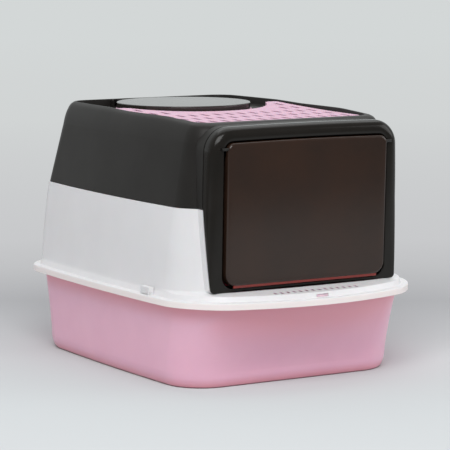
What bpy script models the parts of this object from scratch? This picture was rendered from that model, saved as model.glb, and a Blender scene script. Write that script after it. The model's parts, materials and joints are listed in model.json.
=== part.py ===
"""Hooded cat litter box with a swing door at the front and a round hinged lid on top.

Metres, +Z up, the door faces -Y, and the origin is under the middle of the rim on the floor.
A deep tray carries a two-part hood: a pale lower hood with a wide rim and a dark upper hood.
A glossy frame stands in the doorway and holds the swing door, and a grip mat and a ring lie on the roof.
"""

import math
from dataclasses import dataclass, replace

import bmesh
import bpy
from mathutils import Matrix

# Driving sizes of the whole box
RIM_LENGTH = 0.560
RIM_WIDTH = 0.415
SEAM_HEIGHT = 0.2552
ROOF_HEIGHT = 0.3768
GAP = 0.0003
CUT_OVERRUN = 0.020

# Tray
TRAY_WALL = 0.0026
TRAY_FOOT_SIDE_INSET = 0.0360
TRAY_FOOT_HALF_WIDTH = RIM_WIDTH / 2 - TRAY_FOOT_SIDE_INSET
TRAY_FOOT_FRONT_INSET = 0.0862
TRAY_FOOT_FRONT = RIM_LENGTH / 2 - TRAY_FOOT_FRONT_INSET
TRAY_FOOT_BACK_INSET = 0.0314
TRAY_FOOT_BACK = RIM_LENGTH / 2 - TRAY_FOOT_BACK_INSET
TRAY_FOOT_BOW = 0.0056
TRAY_FOOT_TAPER = 0.0015
TRAY_FOOT_RADIUS = 0.0520
TRAY_HEEL_RISE = 0.0220
TRAY_HEEL_SPREAD = 0.0085
TRAY_INSET = 0.0165
TRAY_FLANGE_INSET = 0.0050
TRAY_NECK_RISE = 0.0045
TONGUE_WIDTH = 0.0194
TONGUE_DEPTH = 0.0026
TONGUE_HEIGHT = 0.0066

# Rim and ledge of the lower hood
HOOD_WALL = 0.0025
RIM_BOTTOM = 0.1195
RIM_BAND = 0.0075
RIM_ROUND = 0.0022
RIM_SIDE_BOW = 0.0088
RIM_FRONT_BOW = 0.0493
RIM_BACK_BOW = 0.0046
RIM_FRONT_RADIUS = 0.0620
RIM_BACK_RADIUS = 0.0640
RISER_INSET = 0.0125
RISER_HEIGHT = 0.0073
RISER_ROUND = 0.0004
LEDGE_RISE = 0.0024
WALL_FOOT_INSET = 0.0130
WALL_FOOT_FRONT_INSET = 0.0580
WALL_FOOT_FRONT = RIM_LENGTH / 2 - WALL_FOOT_FRONT_INSET
WALL_FOOT_RADIUS = 0.0760
SLOT_COUNT = 14
SLOT_PITCH = 0.0104
SLOT_WIDTH = 0.0042
SLOT_LENGTH = 0.0100
SLOT_INSET = 0.0280
SLOT_MIDDLE_Y = SLOT_INSET - RIM_LENGTH / 2
WINDOW_WIDTH = 0.0202
WINDOW_HEIGHT = 0.0042
WINDOW_RISE = 0.0003

# Walls at the seam between the two hoods
SEAM_SIDE_INSET = 0.0355
SEAM_HALF_WIDTH = RIM_WIDTH / 2 - SEAM_SIDE_INSET
SEAM_SIDE_BOW = 0.0106
SEAM_TAPER = 0.0033
SEAM_FRONT_INSET = 0.0765
SEAM_FRONT = RIM_LENGTH / 2 - SEAM_FRONT_INSET
SEAM_BACK_INSET = 0.0215
SEAM_BACK = RIM_LENGTH / 2 - SEAM_BACK_INSET
SEAM_FRONT_RADIUS = 0.0450
SEAM_BACK_RADIUS = 0.0360
SEAM_STEP = 0.0016
WALL_BELLY = 0.0034
WALL_BELLY_SHARE = 0.45

# Upper hood and its roof
SHOULDER_DROP = 0.0318
SHOULDER_HEIGHT = ROOF_HEIGHT - SHOULDER_DROP
SHOULDER_SIDE_INSET = 0.0485
SHOULDER_HALF_WIDTH = RIM_WIDTH / 2 - SHOULDER_SIDE_INSET
SHOULDER_SIDE_BOW = 0.0085
SHOULDER_TAPER = 0.0030
SHOULDER_FRONT_INSET = 0.0788
SHOULDER_FRONT = RIM_LENGTH / 2 - SHOULDER_FRONT_INSET
SHOULDER_BACK_INSET = 0.0355
SHOULDER_BACK = RIM_LENGTH / 2 - SHOULDER_BACK_INSET
SHOULDER_RADIUS = 0.0380
CREST_INSET = 0.0165
CREST_FRONT_DROP = 0.0046
CREST_DROP_INSET = 0.1500
CREST_DROP_START = RIM_LENGTH / 2 - CREST_DROP_INSET
CREST_WIDTH = 0.0026
RECESS_DEPTH = 0.0100
RECESS_DRAFT = 0.0010
RECESS_FRONT_INSET = 0.1150
RECESS_FRONT = RIM_LENGTH / 2 - RECESS_FRONT_INSET
HOLE_SIDE_INSET = 0.0500
HOLE_BACK_INSET = 0.0188
HOLE_RADIUS = SHOULDER_HALF_WIDTH - CREST_INSET - HOLE_SIDE_INSET
HOLE_Y = SHOULDER_BACK - CREST_INSET - HOLE_BACK_INSET - HOLE_RADIUS
COLLAR_HEIGHT = 0.0068

# Door frame
FRAME_SIDE_INSET = 0.0525
FRAME_HALF_WIDTH = RIM_WIDTH / 2 - FRAME_SIDE_INSET
FRAME_SIDE_BOW = 0.0036
FRAME_CROWN = 0.0020
FRAME_BOTTOM = 0.1392
FRAME_TOP_DROP = 0.0083
FRAME_TOP = ROOF_HEIGHT - FRAME_TOP_DROP
FRAME_FRONT_LOW_INSET = 0.0575
FRAME_FRONT_LOW = RIM_LENGTH / 2 - FRAME_FRONT_LOW_INSET
FRAME_FRONT_HIGH_INSET = 0.0500
FRAME_FRONT_HIGH = RIM_LENGTH / 2 - FRAME_FRONT_HIGH_INSET
FRAME_BACK_LOW_INSET = 0.0585
FRAME_BACK_LOW = RIM_LENGTH / 2 - FRAME_BACK_LOW_INSET
FRAME_BACK_HIGH_INSET = 0.0720
FRAME_BACK_HIGH = RIM_LENGTH / 2 - FRAME_BACK_HIGH_INSET
FRAME_SPIGOT_INSET = 0.0029
FRAME_SPIGOT_BACK_INSET = 0.0880
FRAME_SPIGOT_BACK = RIM_LENGTH / 2 - FRAME_SPIGOT_BACK_INSET
FRAME_TOP_RADIUS = 0.0330
FRAME_BOTTOM_RADIUS = 0.0060
FRAME_ROUND = 0.0085
FRAME_FACE = 0.0165
FRAME_CHAMFER = 0.0025
FRAME_SILL = 0.0043
FRAME_WALL = 0.0025
FRAME_HOLLOW_DEPTH = 0.0055
FRAME_CLEARANCE = 0.0004
COLLAR_BACK_INSET = 0.0950
COLLAR_BACK = RIM_LENGTH / 2 - COLLAR_BACK_INSET

# Swing door
DOOR_SIDE_GAP = 0.0030
DOOR_TOP_GAP = 0.0015
DOOR_BOTTOM_GAP = 0.0042
DOOR_WALL = 0.0025
DOOR_RETURN = 0.0080
DOOR_ROUND = 0.0042
DOOR_TOP_RADIUS = 0.0110
DOOR_BOTTOM_RADIUS = 0.0180
DOOR_PROUD = 0.0060
DOOR_BULGE = 0.0003
DOOR_AXIS_DROP = 0.0085
DOOR_PIN_RADIUS = 0.0022

# Lid on the roof
LID_OVERLAP = 0.0095
LID_RADIUS = HOLE_RADIUS + LID_OVERLAP
LID_WALL = 0.0025
LID_SKIRT = 0.0072
LID_AXIS_GAP = 0.0019
LID_AXIS_Y = HOLE_Y + LID_RADIUS + LID_AXIS_GAP
LID_AXIS_DROP = 0.0016
LID_HINGE_INSET = 0.0440
LID_HINGE_X = LID_RADIUS - LID_HINGE_INSET
LID_KNUCKLE_WIDTH = 0.0140
LID_KNUCKLE_RADIUS = 0.0032
LID_ARM_WIDTH = 0.0110
LID_ARM_THICKNESS = 0.0023
LID_ARM_REACH = 0.0050
LUG_WIDTH = 0.0036
LID_PIN_RADIUS = 0.0016

# Ring round the hole
RING_WALL = 0.0022
RING_FOOT_WIDTH = 0.0105
RING_FOOT_RADIUS = HOLE_RADIUS + RING_FOOT_WIDTH
RING_FOOT_HEIGHT = 0.0036
RING_SKIRT = 0.0070

# Grip mat on the roof
MAT_SIDE_INSET = 0.0005
MAT_HALF_WIDTH = SHOULDER_HALF_WIDTH - CREST_INSET - MAT_SIDE_INSET
MAT_FRONT_GAP = 0.0050
MAT_FRONT = RECESS_FRONT - MAT_FRONT_GAP
MAT_TIP_DROP = 0.0407
MAT_BACK = HOLE_Y - MAT_TIP_DROP
MAT_CUT_GAP = 0.0240
MAT_CUT_RADIUS = RING_FOOT_RADIUS + MAT_CUT_GAP
MAT_FRONT_RADIUS = 0.0250
MAT_TIP_RADIUS = 0.0060
MAT_FRONT_HEIGHT = 0.0036
MAT_RISE = 0.0059
MAT_RISE_STEPS = 10
MAT_SLOT_LENGTH = 0.0220
MAT_SLOT_WIDTH = 0.0034
MAT_SLOT_PITCH = 0.0205
MAT_ROW_PITCH = 0.0450
MAT_FIRST_ROW = 0.0260
MAT_SLOT_MARGIN = 0.0110

# Clips at the sides of the rim
CLIP_LENGTH = 0.0190
CLIP_THICKNESS = 0.0080
CLIP_HEIGHT = 0.0110
CLIP_MIDDLE_Y = -0.1190
CLIP_WALL_GAP = 0.0012
CLIP_PIN_RADIUS = 0.0013
CLIP_AXIS_INSET = 0.0024
CLIP_LUG_WIDTH = 0.0026
CLIP_BEVEL = 0.0006

# Counts of steps round the outlines
CORNER_STEPS = 7
SIDE_STEPS = 6
FRONT_STEPS = 10
BACK_STEPS = 6
ROUND_STEPS = 40
PIN_STEPS = 12

# Tables of shares used by the lofts
HEEL_SHARES = ((0.0, 0.0), (0.1, 0.28), (0.3, 0.58), (0.6, 0.85), (1.0, 1.0))
SHOULDER_SHARES = ((0.0, 0.0), (0.34, 0.14), (0.65, 0.35), (0.88, 0.63), (1.0, 1.0))
FRAME_ROUND_SHARES = ((0.0, 1.0), (0.14, 0.48), (0.50, 0.13), (1.0, 0.0))
FRAME_ROUND_SHARE = 0.6
DOOR_EDGE_SHARES = ((0.08, 1.0), (0.38, 0.34), (1.0, 0.0))
TRAY_HALFWAY_SHARE = 0.55
ROUND_SHARE = 0.3
HALF = 0.5
TONGUE_ROOT_SHARE = 0.6
DOOR_FACE_SHARE = 0.9

# Colours and finishes
FINISHES = {
    "pink_plastic": ((0.62, 0.33, 0.42), 0.38),
    "pink_rubber": ((0.70, 0.43, 0.54), 0.55),
    "white_plastic": ((0.80, 0.80, 0.81), 0.35),
    "dark_plastic": ((0.045, 0.044, 0.043), 0.42),
    "gloss_plastic": ((0.020, 0.019, 0.018), 0.12),
    "smoked_plastic": ((0.050, 0.036, 0.031), 0.10),
    "pin_plastic": ((0.10, 0.10, 0.10), 0.30),
}


@dataclass(frozen=True)
class Outline:
    """A plan outline: a rounded rectangle whose sides, front and back bow outwards."""

    half_width: float
    front: float
    back: float
    front_radius: float
    back_radius: float
    side_bow: float = 0.0
    front_bow: float = 0.0
    back_bow: float = 0.0
    taper: float = 0.0

    def inset(self, distance):
        """The same outline, drawn in by a distance on every side."""
        return replace(
            self,
            half_width=self.half_width - distance,
            front=self.front - distance,
            back=self.back - distance,
            front_radius=self.front_radius - distance,
            back_radius=self.back_radius - distance,
        )

    def blend(self, other, share):
        """The outline that lies a share of the way to another."""
        mixed = {
            name: getattr(self, name) * (1 - share) + getattr(other, name) * share
            for name in self.__dataclass_fields__
        }
        return Outline(**mixed)

    def points(self):
        """Points counter-clockwise from the front left corner, always as many."""
        spans = (
            (-1, -1, math.pi, self.front_radius, FRONT_STEPS),
            (1, -1, 1.5 * math.pi, self.front_radius, SIDE_STEPS),
            (1, 1, 0.0, self.back_radius, BACK_STEPS),
            (-1, 1, 0.5 * math.pi, self.back_radius, SIDE_STEPS),
        )
        corners = []
        for side, end, start, radius, _ in spans:
            centre_x = side * (self.half_width - radius)
            centre_y = (self.back - radius) if end > 0 else (radius - self.front)
            arc = []
            for step in range(CORNER_STEPS + 1):
                angle = start + 0.5 * math.pi * step / CORNER_STEPS
                arc.append((centre_x + radius * math.cos(angle), centre_y + radius * math.sin(angle)))
            corners.append(arc)
        plain = []
        for index, arc in enumerate(corners):
            plain.extend(arc)
            last, first = arc[-1], corners[(index + 1) % len(corners)][0]
            steps = spans[index][-1]
            for step in range(1, steps):
                share = step / steps
                plain.append(tuple(a + (b - a) * share for a, b in zip(last, first)))
        return [self.bowed(x, y) for x, y in plain]

    def bowed(self, x, y):
        """Moves one point outwards by the bows and the taper."""
        across = x / self.half_width
        along = (2 * y + self.front - self.back) / (self.front + self.back)
        x += across * (self.side_bow * (1 - along * along) - self.taper * along)
        spread = 1 - across * across
        y -= self.front_bow * spread * max(-along, 0.0) ** 2
        y += self.back_bow * spread * max(along, 0.0) ** 2
        return x, y


def material(name):
    """A plain material from the table of finishes, made once."""
    found = bpy.data.materials.get(name)
    if found:
        return found
    colour, roughness = FINISHES[name]
    made = bpy.data.materials.new(name)
    made.use_nodes = True
    shader = made.node_tree.nodes["Principled BSDF"]
    shader.inputs["Base Color"].default_value = (*colour, 1.0)
    shader.inputs["Roughness"].default_value = roughness
    shader.inputs["Metallic"].default_value = 0.0
    return made


def clear_scene():
    """Removes what the scene holds before the model is made."""
    for old in list(bpy.data.objects):
        bpy.data.objects.remove(old, do_unlink=True)


def new_collection(name):
    """A collection linked to the scene."""
    made = bpy.data.collections.new(name)
    bpy.context.scene.collection.children.link(made)
    return made


def object_from(name, shape, collection, finish=None):
    """Turns a bmesh into an object of a collection."""
    mesh = bpy.data.meshes.new(name)
    shape.to_mesh(mesh)
    shape.free()
    made = bpy.data.objects.new(name, mesh)
    collection.objects.link(made)
    if finish:
        mesh.materials.append(material(finish))
        mesh.shade_smooth()
        mesh.set_sharp_from_angle(angle=math.radians(32))
    else:
        made.hide_render = True
        made.display_type = "WIRE"
    return made


def loft(loops, close_ring=False, cap_first=False, cap_last=False):
    """Joins loops of points, all of the same count, with bands of quads.

    An open surface faces out where its loops run counter-clockwise and climb.
    """
    shape = bmesh.new()
    rows = [[shape.verts.new(point) for point in loop] for loop in loops]
    pairs = list(zip(rows, rows[1:]))
    if close_ring:
        pairs.append((rows[-1], rows[0]))
    for low, high in pairs:
        for index in range(len(low)):
            following = (index + 1) % len(low)
            shape.faces.new((low[index], low[following], high[following], high[index]))
    if cap_first:
        shape.faces.new(list(reversed(rows[0])))
    if cap_last:
        shape.faces.new(rows[-1])
    if close_ring or (cap_first and cap_last):
        bmesh.ops.recalc_face_normals(shape, faces=shape.faces)
    return shape


def box(low, high):
    """A box between two corners."""
    shape = bmesh.new()
    size = [b - a for a, b in zip(low, high)]
    middle = [(a + b) / 2 for a, b in zip(low, high)]
    place = Matrix.Translation(middle) @ Matrix.Diagonal((*size, 1.0))
    bmesh.ops.create_cube(shape, size=1.0, matrix=place)
    return shape


def rod(radius, middle, length, direction, steps=PIN_STEPS):
    """A cylinder along X or Y about its middle."""
    turns = {"X": Matrix.Rotation(math.pi / 2, 4, "Y"), "Y": Matrix.Rotation(math.pi / 2, 4, "X")}
    shape = bmesh.new()
    bmesh.ops.create_cone(
        shape,
        cap_ends=True,
        segments=steps,
        radius1=radius,
        radius2=radius,
        depth=length,
        matrix=Matrix.Translation(middle) @ turns[direction],
    )
    return shape


def merge(shapes):
    """Puts several shapes that don't touch into one bmesh."""
    whole = bmesh.new()
    for shape in shapes:
        mesh = bpy.data.meshes.new("part_of_merge")
        shape.to_mesh(mesh)
        shape.free()
        whole.from_mesh(mesh)
        bpy.data.meshes.remove(mesh)
    return whole


def solidify(piece, thickness):
    """Gives an open surface its wall on the inner side."""
    wall = piece.modifiers.new("wall", "SOLIDIFY")
    wall.thickness = thickness
    wall.offset = -1.0
    wall.use_even_offset = True
    wall.use_quality_normals = True


def bevel(piece, width, segments=2, angle=40):
    """Rounds the sharp edges of a piece."""
    edge = piece.modifiers.new("edge", "BEVEL")
    edge.width = width
    edge.segments = segments
    edge.limit_method = "ANGLE"
    edge.angle_limit = math.radians(angle)


def combine(piece, other, operation):
    """Cuts with, or joins, another object."""
    joint = piece.modifiers.new(operation.lower(), "BOOLEAN")
    joint.operation = operation
    joint.solver = "EXACT"
    joint.object = other


def level(outline, height):
    """The points of an outline at one height."""
    return [(x, y, height) for x, y in outline.points()]


def rim_outline():
    """The outer edge of the rim."""
    return Outline(
        half_width=RIM_WIDTH / 2 - RIM_SIDE_BOW,
        front=RIM_LENGTH / 2 - RIM_FRONT_BOW,
        back=RIM_LENGTH / 2 - RIM_BACK_BOW,
        front_radius=RIM_FRONT_RADIUS,
        back_radius=RIM_BACK_RADIUS,
        side_bow=RIM_SIDE_BOW,
        front_bow=RIM_FRONT_BOW,
        back_bow=RIM_BACK_BOW,
    )


def seam_outline():
    """The outer edge of the lower hood's top."""
    return Outline(
        half_width=SEAM_HALF_WIDTH,
        front=SEAM_FRONT,
        back=SEAM_BACK,
        front_radius=SEAM_FRONT_RADIUS,
        back_radius=SEAM_BACK_RADIUS,
        side_bow=SEAM_SIDE_BOW,
        taper=SEAM_TAPER,
    )


def shoulder_outline():
    """The outer edge of the upper hood where its wall turns into the roof."""
    return Outline(
        half_width=SHOULDER_HALF_WIDTH,
        front=SHOULDER_FRONT,
        back=SHOULDER_BACK,
        front_radius=SHOULDER_RADIUS,
        back_radius=SHOULDER_RADIUS,
        side_bow=SHOULDER_SIDE_BOW,
        taper=SHOULDER_TAPER,
    )


def band_top():
    """Height of the flat on top of the rim band."""
    return RIM_BOTTOM + RIM_BAND + RIM_ROUND


def recess_floor():
    """Height of the floor of the roof's recess."""
    return ROOF_HEIGHT - RECESS_DEPTH


def make_tray(parts, cutters):
    """The deep tray with its flange and the tongue behind the front window."""
    foot = Outline(
        half_width=TRAY_FOOT_HALF_WIDTH,
        front=TRAY_FOOT_FRONT,
        back=TRAY_FOOT_BACK,
        front_radius=TRAY_FOOT_RADIUS,
        back_radius=TRAY_FOOT_RADIUS,
        side_bow=TRAY_FOOT_BOW,
        taper=TRAY_FOOT_TAPER,
    )
    flange_top = band_top() - HOOD_WALL - GAP
    flange_under = flange_top - TRAY_WALL
    heel = foot.inset(-TRAY_HEEL_SPREAD)
    neck = rim_outline().inset(TRAY_INSET)
    neck_height = flange_under - TRAY_NECK_RISE
    loops = [level(foot.blend(heel, out), TRAY_HEEL_RISE * up) for up, out in HEEL_SHARES]
    halfway = TRAY_HEEL_RISE + (neck_height - TRAY_HEEL_RISE) * TRAY_HALFWAY_SHARE
    loops.append(level(heel.blend(neck, TRAY_HALFWAY_SHARE), halfway))
    loops.append(level(neck, neck_height))
    turn = TRAY_NECK_RISE * ROUND_SHARE
    loops.append(level(neck.inset(-turn), flange_under - turn))
    loops.append(level(neck.inset(-TRAY_NECK_RISE), flange_under))
    loops.append(level(rim_outline().inset(TRAY_FLANGE_INSET), flange_under))
    tray = object_from("litter_tray", loft(loops, cap_first=True), parts, "pink_plastic")
    solidify(tray, TRAY_WALL)

    tongue_front = RIM_LENGTH / 2 - RISER_INSET - HOOD_WALL - 2 * GAP
    tongue = box(
        (-TONGUE_WIDTH / 2, -tongue_front, flange_under - TRAY_NECK_RISE * TONGUE_ROOT_SHARE),
        (TONGUE_WIDTH / 2, TONGUE_DEPTH - tongue_front, flange_top + TONGUE_HEIGHT),
    )
    combine(tray, object_from("tongue_shape", tongue, cutters), "UNION")
    return tray


def frame_front(height):
    """The front plane of the frame leans forward towards its top."""
    share = (height - FRAME_BOTTOM) / (FRAME_TOP - FRAME_BOTTOM)
    return -(FRAME_FRONT_LOW + (FRAME_FRONT_HIGH - FRAME_FRONT_LOW) * share)


def back_slope(height):
    """The plane that the frame's back edge follows below the seam."""
    share = (height - FRAME_BOTTOM) / (SEAM_HEIGHT - FRAME_BOTTOM)
    return -(FRAME_BACK_LOW + (FRAME_BACK_HIGH - FRAME_BACK_LOW) * share)


def frame_back(height):
    """The back edge of the frame's skin stands straight above the seam and follows the wall below."""
    return min(back_slope(height), -FRAME_BACK_HIGH)


def frame_round(height):
    """The rounding of the frame's front edge, which shrinks with the skin's depth."""
    return min(FRAME_ROUND, (frame_back(height) - frame_front(height)) * FRAME_ROUND_SHARE)


def upright_loop(half_width, bottom, top, bottom_radius, top_radius, side_bow=0.0):
    """Points of a rounded rectangle standing in the doorway, with bowed sides and a crowned top."""
    corners = (
        (-1, bottom, bottom_radius, math.pi, 1),
        (1, bottom, bottom_radius, 1.5 * math.pi, 1),
        (1, top, top_radius, 0.0, -1),
        (-1, top, top_radius, 0.5 * math.pi, -1),
    )
    steps = (FRONT_STEPS // 2, SIDE_STEPS, FRONT_STEPS, SIDE_STEPS)
    arcs = []
    for side, edge, radius, start, inward in corners:
        arc = []
        for step in range(CORNER_STEPS + 1):
            angle = start + 0.5 * math.pi * step / CORNER_STEPS
            x = side * (half_width - radius) + radius * math.cos(angle)
            arc.append((x, edge + inward * radius + radius * math.sin(angle)))
        arcs.append(arc)
    middle = (FRAME_TOP + FRAME_BOTTOM) / 2
    half_height = (FRAME_TOP - FRAME_BOTTOM) / 2
    points = []
    for index, arc in enumerate(arcs):
        last, first = arc[-1], arcs[(index + 1) % len(arcs)][0]
        between = []
        for step in range(1, steps[index]):
            share = step / steps[index]
            between.append(tuple(a + (b - a) * share for a, b in zip(last, first)))
        for x, z in arc + between:
            across = x / half_width
            up = (z - middle) / half_height
            crown = FRAME_CROWN * (1 - across * across) * max(up, 0.0) ** 2
            points.append((x + across * side_bow * max(1 - up * up, 0.0), z + crown))
    return points


def frame_points(inset):
    """The frame's outline drawn in by an inset, less so at its low sill."""
    share = inset / (FRAME_FACE + FRAME_CHAMFER)
    sill = FRAME_SILL * share
    return upright_loop(
        FRAME_HALF_WIDTH - inset,
        FRAME_BOTTOM + sill,
        FRAME_TOP - inset,
        max(FRAME_BOTTOM_RADIUS - sill, FRAME_SILL / 2),
        FRAME_TOP_RADIUS - inset,
        FRAME_SIDE_BOW * (1 - share),
    )


def standing(points, depth_of):
    """Stands an outline up, with its depth given by a function of the height."""
    return [(x, depth_of(z), z) for x, z in points]


def doorway_cutter(cutters):
    """The doorway through both hoods: the frame's spigot and its clearance."""
    inset = FRAME_SPIGOT_INSET - FRAME_CLEARANCE
    points = upright_loop(
        FRAME_HALF_WIDTH - inset,
        FRAME_BOTTOM - FRAME_CLEARANCE,
        FRAME_TOP - inset,
        FRAME_BOTTOM_RADIUS,
        FRAME_TOP_RADIUS - inset,
        FRAME_SIDE_BOW * (1 - inset / (FRAME_FACE + FRAME_CHAMFER)),
    )
    front = -FRAME_FRONT_HIGH - CUT_OVERRUN
    back = CUT_OVERRUN - COLLAR_BACK
    loops = [standing(points, lambda z: front), standing(points, lambda z: back)]
    return object_from("doorway_cutter", loft(loops, cap_first=True, cap_last=True), cutters)


def doorway_collar(cutters, name, front_of, low, high):
    """The block that a doorway is cut from, so that a collar reaches from the hood's wall to the frame."""
    points = frame_points(0.0)
    loops = [standing(points, lambda z: front_of(z) + GAP), standing(points, lambda z: -COLLAR_BACK)]
    collar = object_from(name, loft(loops, cap_first=True, cap_last=True), cutters)
    span = FRAME_HALF_WIDTH + FRAME_SIDE_BOW + CUT_OVERRUN
    limits = box((-span, -FRAME_FRONT_HIGH, low), (span, 0.0, high))
    combine(collar, object_from(name + "_limits", limits, cutters), "INTERSECT")
    return collar


def make_lower_hood(parts, cutters, doorway):
    """The pale lower hood: rim band, riser, slotted ledge and walls."""
    rim = rim_outline()
    wall_foot = rim.inset(WALL_FOOT_INSET)
    wall_foot = replace(wall_foot, front=WALL_FOOT_FRONT, front_bow=0.0, front_radius=WALL_FOOT_RADIUS)
    seam = seam_outline()
    riser_foot = band_top()
    riser_top = riser_foot + RISER_HEIGHT
    foot_height = riser_top + LEDGE_RISE
    belly_height = foot_height + (SEAM_HEIGHT - foot_height) * WALL_BELLY_SHARE
    belly = wall_foot.blend(seam, WALL_BELLY_SHARE)
    belly = replace(belly, half_width=belly.half_width + WALL_BELLY, back=belly.back + WALL_BELLY)
    loops = [
        level(rim, RIM_BOTTOM),
        level(rim, RIM_BOTTOM + RIM_BAND),
        level(rim.inset(RIM_ROUND * ROUND_SHARE), riser_foot - RIM_ROUND * ROUND_SHARE),
        level(rim.inset(RIM_ROUND), riser_foot),
        level(rim.inset(RISER_INSET), riser_foot),
        level(rim.inset(RISER_INSET), riser_top - RISER_ROUND),
        level(rim.inset(RISER_INSET + RISER_ROUND), riser_top),
        level(wall_foot, foot_height),
        level(belly, belly_height),
        level(seam, SEAM_HEIGHT),
    ]
    hood = object_from("lower_hood", loft(loops), parts, "white_plastic")
    solidify(hood, HOOD_WALL)

    lugs = []
    bores = []
    for side in (-1, 1):
        axis_x, axis_z = clip_axis(side)
        span = CLIP_LENGTH / 2 + GAP
        foot = band_top() - HOOD_WALL / 2
        for end in (-1, 1):
            near = CLIP_MIDDLE_Y + end * span
            far = CLIP_MIDDLE_Y + end * (span + CLIP_LUG_WIDTH)
            edges = sorted((axis_x - side * CLIP_AXIS_INSET, axis_x + side * CLIP_AXIS_INSET))
            lugs.append(
                box((edges[0], min(near, far), foot), (edges[1], max(near, far), axis_z + CLIP_AXIS_INSET))
            )
        length = CLIP_LENGTH + 2 * CLIP_LUG_WIDTH + 4 * GAP
        bores.append(rod(CLIP_PIN_RADIUS + GAP, (axis_x, CLIP_MIDDLE_Y, axis_z), length, "Y"))
    combine(hood, object_from("clip_lug_shapes", merge(lugs), cutters), "UNION")
    combine(hood, object_from("clip_bore_cutter", merge(bores), cutters), "DIFFERENCE")

    low = foot_height - HOOD_WALL / 2
    collar = doorway_collar(cutters, "lower_collar", back_slope, low, SEAM_HEIGHT - GAP)
    combine(hood, collar, "UNION")
    combine(hood, doorway, "DIFFERENCE")

    slots = []
    for index in range(SLOT_COUNT):
        x = (index - (SLOT_COUNT - 1) / 2) * SLOT_PITCH
        low = (x - SLOT_WIDTH / 2, SLOT_MIDDLE_Y - SLOT_LENGTH / 2, RIM_BOTTOM)
        high = (x + SLOT_WIDTH / 2, SLOT_MIDDLE_Y + SLOT_LENGTH / 2, riser_top + CUT_OVERRUN)
        slots.append(box(low, high))
    riser_y = RIM_LENGTH / 2 - RISER_INSET
    window_low = riser_foot + WINDOW_RISE
    slots.append(
        box(
            (-WINDOW_WIDTH / 2, -riser_y - CUT_OVERRUN, window_low),
            (WINDOW_WIDTH / 2, -riser_y + HOOD_WALL + RISER_ROUND, window_low + WINDOW_HEIGHT),
        )
    )
    combine(hood, object_from("ledge_cutter", merge(slots), cutters), "DIFFERENCE")
    return hood


def crest_height(y, height):
    """The rail round the roof drops a little towards the door frame."""
    run = max(-y - CREST_DROP_START, 0.0) / (SHOULDER_FRONT - CREST_DROP_START)
    rise = max(height - SHOULDER_HEIGHT, 0.0) / (ROOF_HEIGHT - SHOULDER_HEIGHT)
    return height - CREST_FRONT_DROP * run * rise


def make_upper_hood(parts, cutters, doorway):
    """The dark upper hood: walls, roof rail, recess, hole collar and hinge lugs."""
    seam = seam_outline().inset(SEAM_STEP)
    shoulder = shoulder_outline()
    crest = shoulder.inset(CREST_INSET)
    inner = crest.inset(CREST_WIDTH)
    sunk = replace(crest.inset(CREST_WIDTH + RECESS_DRAFT), front=RECESS_FRONT)
    inner = replace(inner, front=RECESS_FRONT + RECESS_DRAFT)
    foot = SEAM_HEIGHT + GAP
    floor = recess_floor()
    turn = ROOF_HEIGHT - SHOULDER_HEIGHT
    loops = [level(seam, foot), level(seam.blend(shoulder, HALF), foot + (SHOULDER_HEIGHT - foot) * HALF)]
    for up, inward in SHOULDER_SHARES:
        loops.append(level(shoulder.blend(crest, inward), SHOULDER_HEIGHT + turn * up))
    loops.append(level(inner, ROOF_HEIGHT))
    loops = [[(x, y, crest_height(y, z)) for x, y, z in loop] for loop in loops]
    loops.append(level(sunk, floor))
    count = len(loops[-1])
    middle = CORNER_STEPS + FRONT_STEPS // 2
    outer = HOLE_RADIUS + HOOD_WALL
    for height in (floor, floor + COLLAR_HEIGHT):
        circle = []
        for index in range(count):
            angle = 2 * math.pi * (index - middle) / count - 0.5 * math.pi
            circle.append((outer * math.cos(angle), HOLE_Y + outer * math.sin(angle), height))
        loops.append(circle)
    hood = object_from("upper_hood", loft(loops), parts, "dark_plastic")
    solidify(hood, HOOD_WALL)
    low = foot + GAP
    collar = doorway_collar(cutters, "upper_collar", lambda z: -FRAME_BACK_HIGH, low, ROOF_HEIGHT)
    combine(hood, collar, "UNION")
    combine(hood, doorway, "DIFFERENCE")

    axis_z = lid_axis_height()
    lugs = []
    bores = []
    for side in (-1, 1):
        for end in (-1, 1):
            middle = side * LID_HINGE_X + end * (LID_KNUCKLE_WIDTH / 2 + GAP + LUG_WIDTH / 2)
            lugs.append(lid_lug(middle, axis_z))
        length = LID_KNUCKLE_WIDTH + 2 * LUG_WIDTH + 4 * GAP
        bores.append(rod(LID_PIN_RADIUS + GAP, (side * LID_HINGE_X, LID_AXIS_Y, axis_z), length, "X"))
    combine(hood, object_from("lid_lug_shapes", merge(lugs), cutters), "UNION")
    combine(hood, object_from("lid_bore_cutter", merge(bores), cutters), "DIFFERENCE")
    return hood


def lid_axis_height():
    """Height of the lid's hinge axis."""
    return ROOF_HEIGHT - LID_AXIS_DROP


def lid_lug(middle, axis_z):
    """A lug with a round top that stands in the recess and holds a lid pin."""
    half = LUG_WIDTH / 2
    foot = recess_floor() - HOOD_WALL / 2
    loops = []
    for x in (middle - half, middle + half):
        loop = [(x, LID_AXIS_Y - LID_KNUCKLE_RADIUS, foot), (x, LID_AXIS_Y + LID_KNUCKLE_RADIUS, foot)]
        for step in range(PIN_STEPS // 2 + 1):
            angle = math.pi * step / (PIN_STEPS // 2)
            y = LID_AXIS_Y + LID_KNUCKLE_RADIUS * math.cos(angle)
            loop.append((x, y, axis_z + LID_KNUCKLE_RADIUS * math.sin(angle)))
        loops.append(loop)
    return loft(loops, cap_first=True, cap_last=True)


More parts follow.
